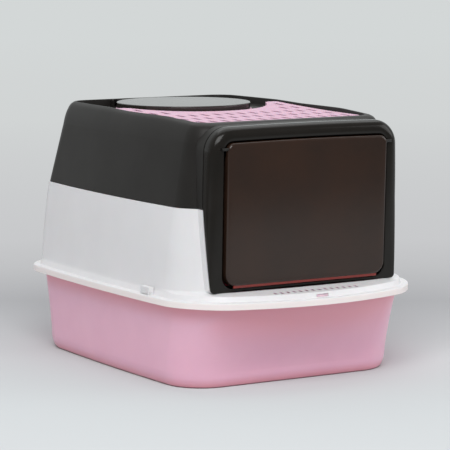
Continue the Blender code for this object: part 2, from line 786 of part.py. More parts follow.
def make_door_frame(parts, cutters):
    """The glossy frame: a channel round the door, open at the back."""
    full = FRAME_FACE + FRAME_CHAMFER
    loops = [
        standing(frame_points(FRAME_SPIGOT_INSET), lambda z: -FRAME_SPIGOT_BACK),
        standing(frame_points(FRAME_SPIGOT_INSET), frame_back),
        standing(frame_points(0.0), frame_back),
    ]
    for inward, back in FRAME_ROUND_SHARES:
        rounded = []
        full_points = frame_points(0.0)
        drawn_in = frame_points(FRAME_ROUND)
        for (x, z), (inner_x, inner_z) in zip(full_points, drawn_in):
            share = inward * frame_round(z) / FRAME_ROUND
            y = frame_front(z) + back * frame_round(z)
            rounded.append((x + (inner_x - x) * share, y, z + (inner_z - z) * share))
        loops.append(rounded)
    loops.append(standing(frame_points(FRAME_FACE), frame_front))
    loops.append(standing(frame_points(full), lambda z: frame_front(z) + FRAME_CHAMFER))
    loops.append(standing(frame_points(full), lambda z: -FRAME_SPIGOT_BACK))
    frame = object_from("door_frame", loft(loops, close_ring=True), parts, "gloss_plastic")
    combine(frame, object_from("frame_hollow_cutter", frame_hollow(), cutters), "DIFFERENCE")
    axis_y, axis_z = door_axis()
    reach = FRAME_HALF_WIDTH - FRAME_SPIGOT_INSET - FRAME_WALL
    sockets = rod(DOOR_PIN_RADIUS + GAP, (0.0, axis_y, axis_z), 2 * reach, "X")
    combine(frame, object_from("frame_socket_cutter", sockets, cutters), "DIFFERENCE")
    return frame


def frame_hollow():
    """The hollow of the channel: an arch behind the front face, over both sides and the top."""
    foot = FRAME_BOTTOM + FRAME_SILL + FRAME_BOTTOM_RADIUS
    outer = frame_points(FRAME_SPIGOT_INSET + FRAME_WALL)
    inner = frame_points(FRAME_FACE + FRAME_CHAMFER - FRAME_WALL)
    first = CORNER_STEPS + FRONT_STEPS // 2 + CORNER_STEPS + 1
    arch = []
    for points, order in ((outer, 1), (inner, -1)):
        path = points[first:] + points[:1]
        path = [(path[0][0], foot)] + path[1:-1] + [(path[-1][0], foot)]
        arch.extend(path[::order])
    front = standing(arch, lambda z: frame_front(z) + FRAME_HOLLOW_DEPTH)
    back = standing(arch, lambda z: CUT_OVERRUN - FRAME_SPIGOT_BACK)
    return loft([front, back], cap_first=True, cap_last=True)


def door_sizes():
    """Half width, bottom and top of the swing door, from the frame's opening."""
    half_width = FRAME_HALF_WIDTH - FRAME_FACE - FRAME_CHAMFER - DOOR_SIDE_GAP
    bottom = FRAME_BOTTOM + FRAME_SILL + DOOR_BOTTOM_GAP
    return half_width, bottom, FRAME_TOP - FRAME_FACE - FRAME_CHAMFER - DOOR_TOP_GAP


def door_face(height):
    """The door's front plane runs a little in front of the frame's."""
    return frame_front(height) - DOOR_PROUD


def door_axis():
    """Depth and height of the door's hinge axis."""
    _, _, top = door_sizes()
    height = top - DOOR_AXIS_DROP
    return door_face(height) + DOOR_RETURN / 2, height


def make_swing_door(parts, cutters):
    """The smoked door: a thin plate with its edge turned back."""
    half_width, bottom, top = door_sizes()
    axis_y, axis_z = door_axis()

    def door_loop(inset, depth):
        points = upright_loop(
            half_width - inset,
            bottom + inset,
            top - inset,
            DOOR_BOTTOM_RADIUS - inset,
            DOOR_TOP_RADIUS - inset,
        )
        return standing(points, lambda z: door_face(z) + depth)

    loops = [door_loop(0.0, DOOR_RETURN)]
    for inward, back in DOOR_EDGE_SHARES:
        loops.append(door_loop(DOOR_ROUND * inward, DOOR_ROUND * back))
    loops.append(door_loop(DOOR_TOP_RADIUS * DOOR_FACE_SHARE, -DOOR_BULGE))
    door = object_from("swing_door", loft(loops, cap_last=True), parts, "smoked_plastic")
    solidify(door, DOOR_WALL)

    bore = rod(DOOR_PIN_RADIUS + GAP, (0.0, axis_y, axis_z), 2 * (half_width + CUT_OVERRUN), "X")
    combine(door, object_from("door_bore_cutter", bore, cutters), "DIFFERENCE")
    return door


def make_door_pin(parts, side):
    """A pin from the door's edge into the frame's channel."""
    half_width, _, _ = door_sizes()
    axis_y, axis_z = door_axis()
    inner = half_width - DOOR_WALL - DOOR_SIDE_GAP
    outer = half_width + DOOR_SIDE_GAP + FRAME_WALL + DOOR_SIDE_GAP
    name = "door_pin_right" if side > 0 else "door_pin_left"
    shape = rod(DOOR_PIN_RADIUS, (side * (inner + outer) / 2, axis_y, axis_z), outer - inner, "X")
    return object_from(name, shape, parts, "pin_plastic")


def turned(name, profile, parts, finish, centre_y):
    """A solid turned about a vertical axis from a closed profile of radius and height."""
    loops = []
    for radius, height in profile:
        loop = []
        for step in range(ROUND_STEPS):
            angle = 2 * math.pi * step / ROUND_STEPS
            loop.append((radius * math.cos(angle), centre_y + radius * math.sin(angle), height))
        loops.append(loop)
    return object_from(name, loft(loops, close_ring=True), parts, finish)


def make_hole_ring(parts):
    """The pink ring that covers the collar round the hole."""
    floor = recess_floor() + GAP
    inner = HOLE_RADIUS - GAP - RING_WALL
    collar_in = HOLE_RADIUS - GAP
    collar_out = HOLE_RADIUS + HOOD_WALL + GAP
    skirt_out = collar_out + RING_WALL
    top = recess_floor() + COLLAR_HEIGHT + GAP + RING_WALL
    under = top - RING_WALL
    edge = RING_WALL * ROUND_SHARE
    profile = [
        (collar_in, under - RING_SKIRT),
        (collar_in, under),
        (collar_out, under),
        (collar_out, floor),
        (RING_FOOT_RADIUS, floor),
        (RING_FOOT_RADIUS, floor + RING_FOOT_HEIGHT - edge),
        (RING_FOOT_RADIUS - edge, floor + RING_FOOT_HEIGHT),
        (skirt_out, floor + RING_FOOT_HEIGHT),
        (skirt_out, top - edge),
        (skirt_out - edge, top),
        (inner + edge, top),
        (inner, top - edge),
        (inner, under - RING_SKIRT),
    ]
    return turned("hole_ring", profile, parts, "pink_rubber", HOLE_Y)


def lid_bottom():
    """Height of the lid plate's underside, just clear of the ring."""
    return recess_floor() + COLLAR_HEIGHT + GAP + RING_WALL + GAP


def make_top_lid(parts, cutters):
    """The smoked round lid: a plate with a downturned edge, and two hinge arms."""
    under = lid_bottom()
    top = under + LID_WALL
    low = top - LID_SKIRT
    edge = LID_WALL / 2
    loops = []
    profile = [
        (LID_RADIUS - LID_WALL, low),
        (LID_RADIUS - LID_WALL, under),
        (LID_RADIUS - 2 * LID_WALL, under),
    ]
    rise = [
        (LID_RADIUS, low),
        (LID_RADIUS, top - edge),
        (LID_RADIUS - edge * ROUND_SHARE, top - edge * ROUND_SHARE),
        (LID_RADIUS - edge, top),
    ]
    for radius, height in list(reversed(profile)) + rise:
        loop = []
        for step in range(ROUND_STEPS):
            angle = 2 * math.pi * step / ROUND_STEPS
            loop.append((radius * math.cos(angle), HOLE_Y + radius * math.sin(angle), height))
        loops.append(loop)
    lid = object_from("top_lid", loft(loops, cap_first=True, cap_last=True), parts, "smoked_plastic")

    arms = []
    axis_z = lid_axis_height()
    for side in (-1, 1):
        x = side * LID_HINGE_X
        edge_y = HOLE_Y + math.sqrt(LID_RADIUS**2 - LID_HINGE_X**2)
        arms.append(
            box(
                (x - LID_ARM_WIDTH / 2, edge_y - LID_ARM_REACH, top - LID_ARM_THICKNESS),
                (x + LID_ARM_WIDTH / 2, LID_AXIS_Y, top - GAP),
            )
        )
    combine(lid, object_from("lid_arm_shapes", merge(arms), cutters), "UNION")
    knuckles = []
    bores = []
    for side in (-1, 1):
        centre = (side * LID_HINGE_X, LID_AXIS_Y, axis_z)
        knuckles.append(rod(LID_KNUCKLE_RADIUS, centre, LID_KNUCKLE_WIDTH, "X", ROUND_STEPS // 2))
        bores.append(rod(LID_PIN_RADIUS + GAP, centre, LID_KNUCKLE_WIDTH + CUT_OVERRUN, "X"))
    combine(lid, object_from("lid_knuckle_shapes", merge(knuckles), cutters), "UNION")
    combine(lid, object_from("lid_pin_cutter", merge(bores), cutters), "DIFFERENCE")
    return lid


def make_lid_pin(parts, side):
    """A pin through one knuckle of the lid and its two lugs."""
    name = "lid_pin_right" if side > 0 else "lid_pin_left"
    length = LID_KNUCKLE_WIDTH + 2 * LUG_WIDTH + 2 * GAP
    shape = rod(LID_PIN_RADIUS, (side * LID_HINGE_X, LID_AXIS_Y, lid_axis_height()), length, "X")
    return object_from(name, shape, parts, "pin_plastic")


def mat_outline():
    """The mat's plan: rounded front corners, two tips and the round cut before the hole."""
    points = []
    for side, start in ((-1, math.pi), (1, 1.5 * math.pi)):
        for step in range(CORNER_STEPS + 1):
            angle = start + 0.5 * math.pi * step / CORNER_STEPS
            x = side * (MAT_HALF_WIDTH - MAT_FRONT_RADIUS) + MAT_FRONT_RADIUS * math.cos(angle)
            points.append((x, MAT_FRONT_RADIUS - MAT_FRONT + MAT_FRONT_RADIUS * math.sin(angle)))
    points.append((MAT_HALF_WIDTH, MAT_BACK - MAT_TIP_RADIUS))
    points.append((MAT_HALF_WIDTH - MAT_TIP_RADIUS, MAT_BACK))
    tip_x = math.sqrt(MAT_CUT_RADIUS**2 - (HOLE_Y - MAT_BACK) ** 2)
    points.append((tip_x + MAT_TIP_RADIUS, MAT_BACK))
    start = math.atan2(MAT_BACK - MAT_TIP_RADIUS - HOLE_Y, tip_x)
    end = -math.pi - start
    steps = ROUND_STEPS // 2
    for step in range(steps + 1):
        angle = start + (end - start) * step / steps
        points.append((MAT_CUT_RADIUS * math.cos(angle), HOLE_Y + MAT_CUT_RADIUS * math.sin(angle)))
    points.append((-tip_x - MAT_TIP_RADIUS, MAT_BACK))
    points.append((MAT_TIP_RADIUS - MAT_HALF_WIDTH, MAT_BACK))
    points.append((-MAT_HALF_WIDTH, MAT_BACK - MAT_TIP_RADIUS))
    return points


def mat_height(y):
    """The mat's top rises from its front edge, more and more towards its tips."""
    share = (y + MAT_FRONT) / (MAT_FRONT + MAT_BACK)
    return recess_floor() + GAP + MAT_FRONT_HEIGHT + MAT_RISE * share**2


def make_paw_mat(parts, cutters):
    """The pink grip mat with rows of slots."""
    outline = mat_outline()
    floor = recess_floor() + GAP
    top = floor + MAT_FRONT_HEIGHT
    loops = [[(x, y, height) for x, y in outline] for height in (floor, top)]
    pad = loft(loops, cap_first=True, cap_last=True)
    for step in range(1, MAT_RISE_STEPS):
        y = (MAT_FRONT + MAT_BACK) * step / MAT_RISE_STEPS - MAT_FRONT
        geometry = pad.verts[:] + pad.edges[:] + pad.faces[:]
        bmesh.ops.bisect_plane(pad, geom=geometry, plane_co=(0.0, y, top), plane_no=(0.0, 1.0, 0.0))
    for vert in pad.verts:
        if vert.co.z > floor + MAT_FRONT_HEIGHT * HALF:
            vert.co.z = mat_height(vert.co.y)
    mat = object_from("paw_mat", pad, parts, "pink_rubber")
    slots = []
    half_x = MAT_SLOT_WIDTH / 2
    half_y = MAT_SLOT_LENGTH / 2
    rows = int((MAT_FRONT + MAT_BACK) / MAT_ROW_PITCH)
    columns = int(MAT_HALF_WIDTH / MAT_SLOT_PITCH)
    for row in range(rows):
        y = MAT_FIRST_ROW - MAT_FRONT + row * MAT_ROW_PITCH
        for column in range(-columns, columns + 1):
            x = column * MAT_SLOT_PITCH
            clear_side = MAT_HALF_WIDTH - abs(x) - half_x > MAT_SLOT_MARGIN
            clear_cut = math.hypot(x, y + half_y - HOLE_Y) > MAT_CUT_RADIUS + MAT_SLOT_MARGIN
            clear_tip = MAT_BACK - y - half_y > MAT_SLOT_MARGIN
            if clear_side and clear_cut and clear_tip:
                low = (x - half_x, y - half_y, floor - CUT_OVERRUN)
                high = (x + half_x, y + half_y, floor + CUT_OVERRUN)
                slots.append(box(low, high))
    combine(mat, object_from("mat_slot_cutter", merge(slots), cutters), "DIFFERENCE")
    return mat


def clip_axis(side):
    """Across and height of a clip's hinge axis, at the outer foot of the clip."""
    rim = rim_outline()
    across, _ = rim.bowed(rim.half_width, CLIP_MIDDLE_Y + CLIP_LENGTH / 2)
    inner = across - RISER_INSET + CLIP_WALL_GAP
    return side * (inner + CLIP_THICKNESS - CLIP_AXIS_INSET), band_top() + GAP + CLIP_AXIS_INSET


def make_side_clip(parts, cutters, side):
    """A small clip on the rim, hinged at its outer foot, which is round about the axis."""
    axis_x, axis_z = clip_axis(side)
    inner = axis_x - side * (CLIP_THICKNESS - CLIP_AXIS_INSET)
    outer = axis_x + side * CLIP_AXIS_INSET
    foot = axis_z - CLIP_AXIS_INSET
    name = "side_clip_right" if side > 0 else "side_clip_left"
    section = [(inner, foot + CLIP_HEIGHT), (inner, foot)]
    for step in range(PIN_STEPS // 2 + 1):
        angle = 0.5 * math.pi * step / (PIN_STEPS // 2)
        across = CLIP_AXIS_INSET * math.sin(angle)
        section.append((axis_x + side * across, axis_z - CLIP_AXIS_INSET * math.cos(angle)))
    section.append((outer, foot + CLIP_HEIGHT))
    ends = (CLIP_MIDDLE_Y - CLIP_LENGTH / 2, CLIP_MIDDLE_Y + CLIP_LENGTH / 2)
    loops = [[(x, y, z) for x, z in section] for y in ends]
    clip = object_from(name, loft(loops, cap_first=True, cap_last=True), parts, "white_plastic")
    bevel(clip, CLIP_BEVEL)
    bore = rod(CLIP_PIN_RADIUS + GAP, (axis_x, CLIP_MIDDLE_Y, axis_z), CLIP_LENGTH + CUT_OVERRUN, "Y")
    combine(clip, object_from(name + "_cutter", bore, cutters), "DIFFERENCE")
    return clip


def make_clip_pin(parts, side):
    """The pin that a side clip turns on."""
    axis_x, axis_z = clip_axis(side)
    name = "clip_pin_right" if side > 0 else "clip_pin_left"
    length = CLIP_LENGTH + 2 * CLIP_LUG_WIDTH + 2 * GAP
    shape = rod(CLIP_PIN_RADIUS, (axis_x, CLIP_MIDDLE_Y, axis_z), length, "Y")
    return object_from(name, shape, parts, "pin_plastic")


def set_origin(piece, point):
    """Moves an object's origin to a joint axis and keeps its shape in place."""
    piece.data.transform(Matrix.Translation([-value for value in point]))
    piece.location = point


def main():
    """Builds every piece of the litter box."""
    clear_scene()
    parts = new_collection("hooded_litter_box")
    cutters = new_collection("cutters")
    cutters.hide_render = True
    doorway = doorway_cutter(cutters)
    make_tray(parts, cutters)
    make_lower_hood(parts, cutters, doorway)
    make_upper_hood(parts, cutters, doorway)
    make_door_frame(parts, cutters)
    door = make_swing_door(parts, cutters)
    make_hole_ring(parts)
    lid = make_top_lid(parts, cutters)
    make_paw_mat(parts, cutters)
    door_y, door_z = door_axis()
    set_origin(door, (0.0, door_y, door_z))
    set_origin(lid, (0.0, LID_AXIS_Y, lid_axis_height()))
    for side in (-1, 1):
        make_door_pin(parts, side)
        make_lid_pin(parts, side)
        clip = make_side_clip(parts, cutters, side)
        axis_x, axis_z = clip_axis(side)
        set_origin(clip, (axis_x, CLIP_MIDDLE_Y, axis_z))
        make_clip_pin(parts, side)


main()
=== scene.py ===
"""Looks of a hooded cat litter box: pink tray, pale and dark hoods, glossy frame, smoked door and lid, mat.

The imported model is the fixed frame. Each visible shell is remade here at a fine resolution from real sizes
in metres, rides on the body that carries it, and stands for the plain solid of the same name.
"""

import json
import logging
import math
from dataclasses import dataclass, fields, replace
from enum import Enum
from typing import Callable, Sequence

import bmesh
import bpy
from mathutils import Euler, Matrix, Vector

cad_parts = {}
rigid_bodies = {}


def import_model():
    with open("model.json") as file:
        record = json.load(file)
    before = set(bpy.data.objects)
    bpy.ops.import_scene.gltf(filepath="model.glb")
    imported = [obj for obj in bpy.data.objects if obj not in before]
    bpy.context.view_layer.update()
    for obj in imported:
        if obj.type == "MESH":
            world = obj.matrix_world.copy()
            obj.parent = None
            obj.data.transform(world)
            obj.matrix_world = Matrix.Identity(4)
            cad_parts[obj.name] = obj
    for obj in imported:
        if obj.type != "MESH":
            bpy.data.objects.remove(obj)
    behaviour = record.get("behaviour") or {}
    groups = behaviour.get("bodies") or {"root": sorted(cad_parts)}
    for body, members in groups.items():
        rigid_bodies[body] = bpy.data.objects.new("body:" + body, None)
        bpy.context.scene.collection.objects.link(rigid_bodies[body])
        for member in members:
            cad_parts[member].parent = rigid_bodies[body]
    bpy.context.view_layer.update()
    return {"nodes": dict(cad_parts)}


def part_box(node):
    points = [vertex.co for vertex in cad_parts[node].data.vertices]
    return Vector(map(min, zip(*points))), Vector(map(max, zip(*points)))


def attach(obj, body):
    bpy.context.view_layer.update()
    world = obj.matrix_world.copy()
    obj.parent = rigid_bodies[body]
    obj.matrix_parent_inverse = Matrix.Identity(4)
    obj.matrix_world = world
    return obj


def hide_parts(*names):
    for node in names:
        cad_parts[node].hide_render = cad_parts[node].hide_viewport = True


LOG = logging.getLogger("litter_box")
MM = 0.001
NEAR = MM / 2  # how near a face's middle lies to a cut, to count as one of its walls
QUARTER = math.pi / 2
# Steps round a corner, along a side seen from above, along an upright side and round a section's bend.
CORNER_STEPS, PLAN_STEPS, UPRIGHT_STEPS, BEND_STEPS = 14, 22, 28, 5
TIGHTEST_BEND = 0.0003  # the least rounding of a shell's inner corner
NOISE_LOW, NOISE_HIGH = 0.3, 0.7  # nearly all of a noise lies in this range
SOFT = {"interpolation_type": "SMOOTHSTEP"}
ALONG_X = Matrix.Rotation(QUARTER, 4, "Y")
ALONG_Y = Matrix.Rotation(QUARTER, 4, "X")

for startup_object in list(bpy.data.objects):
    bpy.data.objects.remove(startup_object, do_unlink=True)
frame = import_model()

Point = tuple[float, float, float]
Pair = tuple[float, float]
Depth = Callable[[float], float]
Piece = bpy.types.Object
Tree = bpy.types.NodeTree
Socket = bpy.types.NodeSocket


class Side(Enum):
    """The two mirrored sides of the box."""

    LEFT = -1
    RIGHT = 1

    def node(self, stem: str) -> str:
        """The name of a piece, node or body on this side, such as clip_pin_left."""
        return f"{stem}_{self.name.lower()}"


class Join(Enum):
    """How one mesh is combined with another."""

    CUT = "DIFFERENCE"
    ADD = "UNION"
    KEEP = "INTERSECT"


def linear(code: str) -> tuple[float, ...]:
    """Turns an sRGB hex code into a linear colour.

    Args:
        code: Six hex digits after a hash sign.

    Returns:
        Red, green, blue and an alpha of one.
    """
    values = [int(code[start : start + 2], 16) / 255 for start in (1, 3, 5)]
    shades = [v / 12.92 if v <= 0.04045 else ((v + 0.055) / 1.055) ** 2.4 for v in values]
    return (*shades, 1.0)


def bare_tree(owner: bpy.types.Material | bpy.types.World) -> Tree:
    """Gives a material or a world an empty node tree.

    Args:
        owner: The material or the world.

    Returns:
        Its node tree.
    """
    owner.use_nodes = True
    owner.node_tree.nodes.clear()
    return owner.node_tree


def add_node(tree: Tree, kind: str, inputs: dict, out: int | str = 0, **settings: object) -> Socket | None:
    """Adds one node with its settings, its fixed values and its links.

    Args:
        tree: The node tree that takes the node.
        kind: The node's type name, without the words that all of them start with.
        inputs: Socket names or numbers, each with a value or with the socket that feeds it.
        out: The name or number of the wanted output.
        **settings: Attributes of the node itself.

    Returns:
        The wanted output, or None if the node has none.
    """
    made = tree.nodes.new(f"ShaderNode{kind}")
    for name, value in settings.items():
        setattr(made, name, value)
    for name, value in inputs.items():
        if isinstance(value, Socket):
            tree.links.new(value, made.inputs[name])
        else:
            made.inputs[name].default_value = value
    return made.outputs[out] if made.outputs else None


@dataclass(frozen=True)
class Finish:
    """A real material and how its surface was made, with its pattern sizes in millimetres, and any painted
    light and shade.
    """

    name: str
    colour: str
    shade: str
    roughness: float
    grain_mm: float
    depth_mm: float
    patch_mm: float
    swing: float = 0.03
    ior: float = 1.5
    transmission: float = 0.0
    subsurface: float = 0.0
    # Painted light and shade: a tint mixed in by height near the foot and the rim and by depth over the
    # front, and a dark painted contact shadow along the foot.
    edge_tint: str = ""
    edge_low: Pair = (0.016, 0.0)
    edge_high: Pair = (0.088, 0.118)
    front_span: Pair = (1.0, 2.0)
    front_rise: Pair = (0.018, 0.108)
    foot_tint: str = ""
    foot_span: Pair = (0.0023, 0.0004)

    def build(self) -> bpy.types.Material:
        """Makes the material, or finds the one already made.

        Returns:
            A node material on object coordinates.
        """
        made = bpy.data.materials.get(self.name)
        if made:
            return made
        made = bpy.data.materials.new(self.name)
        tree = bare_tree(made)
        place = add_node(tree, "TexCoord", {}, "Object")
        # The dye's patches, the grain, and the wear in patches two and a half times as wide.
        noises = []
        scales = (1 / (self.patch_mm * MM), 1 / (self.grain_mm * MM), 0.4 / (self.patch_mm * MM))
        for scale, detail, rough in zip(scales, (3.0, 2.0, 4.0), (0.55, 0.6, 0.65)):
            inputs = {"Vector": place, "Scale": scale, "Detail": detail, "Roughness": rough}
            noises.append(add_node(tree, "TexNoise", inputs))
        patch, grain, wear = noises
        ramp = add_node(tree, "ValToRGB", {"Fac": patch})
        stops = ((NOISE_LOW, self.shade), (NOISE_HIGH, self.colour))
        for stop, (position, colour) in zip(ramp.node.color_ramp.elements, stops):
            stop.position = position
            stop.color = linear(colour)
        span = {"From Min": NOISE_LOW, "From Max": NOISE_HIGH}
        limits = {"To Min": self.roughness - self.swing, "To Max": self.roughness + self.swing}
        bump = {"Height": grain, "Strength": 1.0, "Distance": self.depth_mm * MM}
        surface = {
            "Base Color": self.tinted(tree, place, ramp),
            "Roughness": add_node(tree, "MapRange", {"Value": wear, **span, **limits}),
            "Normal": add_node(tree, "Bump", bump),
            "IOR": self.ior,
            "Transmission Weight": self.transmission,
            "Subsurface Weight": self.subsurface,
            "Subsurface Scale": 2 * MM,
        }
        add_node(tree, "OutputMaterial", {"Surface": add_node(tree, "BsdfPrincipled", surface)})
        return made

    def tinted(self, tree: Tree, place: Socket, colour: Socket) -> Socket:
        """Paints light and shade into the colour: a tint near a piece's foot, under its rim and over its
        front, and a painted contact shadow at the very foot.

        Args:
            tree: The material's node tree.
            place: Object coordinates.
            colour: The colour without the tint.

        Returns:
            The socket that carries the colour.
        """
        if not self.edge_tint:
            return colour
        _, along, height = add_node(tree, "SeparateXYZ", {"Vector": place}).node.outputs
        rises = (self.front_rise, self.edge_low, self.edge_high, self.foot_span)
        share, rise, low, high, foot = (
            add_node(tree, "MapRange", {"Value": value, "From Min": start, "From Max": end}, **SOFT)
            for value, (start, end) in ((along, self.front_span), *((height, span) for span in rises))
        )
        for other, operation in ((rise, "MULTIPLY"), (low, "MAXIMUM"), (high, "MAXIMUM")):
            share = add_node(tree, "Math", {0: share, 1: other}, operation=operation)
        # The painted tint goes in first, then the painted contact shadow at the foot.
        for amount, tint in ((share, self.edge_tint), (foot, self.foot_tint)):
            if tint:
                mix = {"Factor": amount, 6: colour, 7: linear(tint)}
                colour = add_node(tree, "Mix", mix, 2, data_type="RGBA")
        return colour


# Injection-moulded polypropylene, dyed through: a satin pink with soft highlights.
# Painted shade: a deeper, redder pink near the foot, under the rim and over the upper front, and a dark red
# painted contact shadow along the very foot.
PINK_POLYPROPYLENE = Finish(
    name="polypropylene_moulded_pink", colour="#F9C4D9", shade="#F5BFD5", roughness=0.36,
    grain_mm=1.4, depth_mm=0.015, patch_mm=60, subsurface=0.05,
    edge_tint="#FBB3C1", front_span=(-0.198, -0.243), foot_tint="#8E4656",
)

# The same plastic undyed: a clean white with a fine spark-eroded grain, drawn coarser than real to show.
# Painted light: the rim band below 0.129 m is tinted a lighter, warmer white than the walls above it.
WHITE_POLYPROPYLENE = Finish(
    name="polypropylene_moulded_white", colour="#ECEBEC", shade="#E8E7E8", roughness=0.38,
    grain_mm=1.2, depth_mm=0.012, patch_mm=70, subsurface=0.04,
    edge_tint="#FCF3F0", edge_low=(0.1290, 0.1268), edge_high=(1.0, 2.0),
)

# Painted light: the walls of the ledge's slots, painted pink to stand in for the light that the pink tray
# below bounces up into them.
SLOT_PAINTED_BOUNCE = replace(
    WHITE_POLYPROPYLENE, name="polypropylene_slot_wall", colour="#EDCBDB", shade="#E7C4D5", edge_tint=""
)

# Painted light: the tray's tongue, a thin web of the same pink, painted paler than the tray as a painted
# glow on a web that stands in shade behind the window.
TONGUE_PAINTED_GLOW = replace(
    PINK_POLYPROPYLENE, name="polypropylene_tongue_thin", colour="#FFE4EE", shade="#FBDDE9", edge_tint=""
)

# Grained dark polypropylene: a broad soft sheen and no sharp reflection.
DARK_POLYPROPYLENE = Finish(
    name="polypropylene_grained_dark", colour="#262422", shade="#22201E", roughness=0.42,
    grain_mm=1.0, depth_mm=0.02, patch_mm=50, ior=1.32,
)

# The lid's small hinge blocks, rubbed dull by their pins.
DULL_POLYPROPYLENE = replace(
    DARK_POLYPROPYLENE, name="polypropylene_rubbed_dark", colour="#1E1C1B", shade="#1A1918",
    roughness=0.8, ior=1.25,
)

# Polished polystyrene out of a mirror-finished mould: sharp narrow highlights on near black.
BLACK_POLYSTYRENE = Finish(
    name="polystyrene_polished_black", colour="#1E1B18", shade="#1A1815", roughness=0.17,
    grain_mm=9.0, depth_mm=0.02, patch_mm=40, ior=1.34,
)

# Smoked see-through polystyrene sheet: brown, glossy, with the dark inside behind it.
SMOKED_POLYSTYRENE = Finish(
    name="polystyrene_smoked_polished", colour="#38251B", shade="#2F211A", roughness=0.12, swing=0.02,
    grain_mm=14.0, depth_mm=0.02, patch_mm=80, ior=1.46, transmission=0.15,
)

# The lid's sheet: the same plastic in a cooler grey brown.
LID_POLYSTYRENE = replace(
    SMOKED_POLYSTYRENE, name="polystyrene_smoked_lid", colour="#38352F", shade="#322F2A", ior=1.57
)

# Painted shade: the red of the shaded pink tray seen through the gap under the door, on a strip with a faint
# glow.
PAINTED_GAP_SHADE = Finish(
    name="polystyrene_edge_lit_red", colour="#83302A", shade="#762A25", roughness=0.18,
    grain_mm=6.0, depth_mm=0.01, patch_mm=40, ior=1.46, subsurface=0.1,
)

# Soft thermoplastic rubber, moulded matt: pale pink with a faint powdery edge.
PINK_RUBBER = Finish(
    name="thermoplastic_rubber_matt_pink", colour="#D9B3C6", shade="#D4AEC2", roughness=0.6, swing=0.05,
    grain_mm=0.9, depth_mm=0.03, patch_mm=30, ior=1.38, subsurface=0.06,
)

# Painted shade: the mat's slot walls, painted a darker pink to stand in for the shade inside the slots.
SLOT_PAINTED_SHADE_RUBBER = replace(PINK_RUBBER, name="thermoplastic_rubber_slot_wall", colour="#C29AB0", shade="#BA92A8")

# Turned acetal pins: near black with a faint polish from rubbing.
DARK_ACETAL = Finish(
    name="acetal_turned_dark", colour="#201E1C", shade="#1B1A18", roughness=0.34, swing=0.06,
    grain_mm=0.7, depth_mm=0.01, patch_mm=5, ior=1.48,
)

# The same pins undyed, in the pale clips.
PALE_ACETAL = replace(DARK_ACETAL, name="acetal_turned_pale", colour="#E4E1E0", shade="#DCD9D8")


def quarter(start: float, steps: int) -> list[Pair]:
    """The cosine and the sine at each step of a quarter turn."""
    turns = [start + QUARTER * step / steps for step in range(steps + 1)]
    return [(math.cos(turn), math.sin(turn)) for turn in turns]


def between(first: Sequence[float], last: Sequence[float], steps: int) -> list[tuple[float, ...]]:
    """The points of a straight run cut into steps, without its ends."""
    shares = [step / steps for step in range(1, steps)]
    return [tuple(a + (b - a) * share for a, b in zip(first, last)) for share in shares]


def rounded_box(half: float, low: float, high: float, radii: Pair, side_steps: int) -> list[Pair]:
    """Lists the points of a rounded rectangle, counter-clockwise from its low left corner.

    Args:
        half: Half of its width.
        low: Its low edge.
        high: Its high edge.
        radii: The radius of its low corners and of its high ones.
        side_steps: Steps along each side.

    Returns:
        Pairs of across and along.
    """
    arcs = []
    for side, inward, start in ((-1, 1, math.pi), (1, 1, 1.5 * math.pi), (1, -1, 0.0), (-1, -1, QUARTER)):
        edge, radius = (low, radii[0]) if inward > 0 else (high, radii[1])
        x, y = side * (half - radius), edge + inward * radius
        turns = quarter(start, CORNER_STEPS)
        arcs.append([(x + radius * cosine, y + radius * sine) for cosine, sine in turns])
    made = []
    for arc, following in zip(arcs, arcs[1:] + arcs[:1]):
        made += arc + between(arc[-1], following[0], side_steps)
    return made


def eased(table: Sequence[Pair], steps: int) -> list[Pair]:
    """Runs a smooth curve through a short table of shares.

    Args:
        table: Pairs of shares, in order.
        steps: Steps between two entries.

    Returns:
        The table with points added on the curve.
    """
    ends = [table[0], *table, table[-1]]
    made = [table[0]]
    for near in zip(ends, ends[1:], ends[2:], ends[3:]):
        for t in (step / steps for step in range(1, steps + 1)):
            doubled = [
                2 * b + (c - a) * t + (2 * a - 5 * b + 4 * c - d) * t**2 + (3 * b - a - 3 * c + d) * t**3
                for a, b, c, d in zip(*near)
            ]
            made.append((0.5 * doubled[0], 0.5 * doubled[1]))
    return made


@dataclass(frozen=True)
class Outline:
    """A plan outline: a rounded rectangle whose sides, front and back bow outwards."""

    half_width: float
    front: float
    back: float
    front_radius: float
    back_radius: float
    side_bow: float = 0.0
    front_bow: float = 0.0
    back_bow: float = 0.0
    taper: float = 0.0

    def inset(self, distance: float) -> "Outline":
        """The same outline, drawn in by a distance on every side."""
        names = ("half_width", "front", "back", "front_radius", "back_radius")
        return replace(self, **{name: getattr(self, name) - distance for name in names})

    def blend(self, other: "Outline", share: float) -> "Outline":
        """The outline that lies a share of the way to another."""
        names = [item.name for item in fields(self)]
        return Outline(**{n: getattr(self, n) * (1 - share) + getattr(other, n) * share for n in names})

    def points(self, height: float) -> list[Point]:
        """Lists the outline's points at one height, counter-clockwise from the front left.

        Args:
            height: The height of the ring.

        Returns:
            Points in metres.
        """
        made = []
        radii = (self.front_radius, self.back_radius)
        for x, y in rounded_box(self.half_width, -self.front, self.back, radii, PLAN_STEPS):
            across = x / self.half_width
            along = (2 * y + self.front - self.back) / (self.front + self.back)
            spread = 1 - across * across
            side = across * (self.side_bow * (1 - along * along) - self.taper * along)
            front = self.front_bow * spread * max(-along, 0.0) ** 2
            back = self.back_bow * spread * max(along, 0.0) ** 2
            made.append((x + side, y - front + back, height))
        return made


@dataclass(frozen=True)
class Station:
    """One level of a lofted shell, and how far its corner is rounded."""

    outline: Outline
    height: float
    rounding: float = 0.0

    def mix(self, other: "Station", share: float) -> "Station":
        """The station a share of the way to another."""
        height = self.height * (1 - share) + other.height * share
        return Station(self.outline.blend(other.outline, share), height)

    def reach(self, other: "Station") -> float:
        """The distance to another station, measured at the side."""
        return math.hypot(self.outline.half_width - other.outline.half_width, self.height - other.height)

    def points(self) -> list[Point]:
        """The points of its outline at its height."""
        return self.outline.points(self.height)


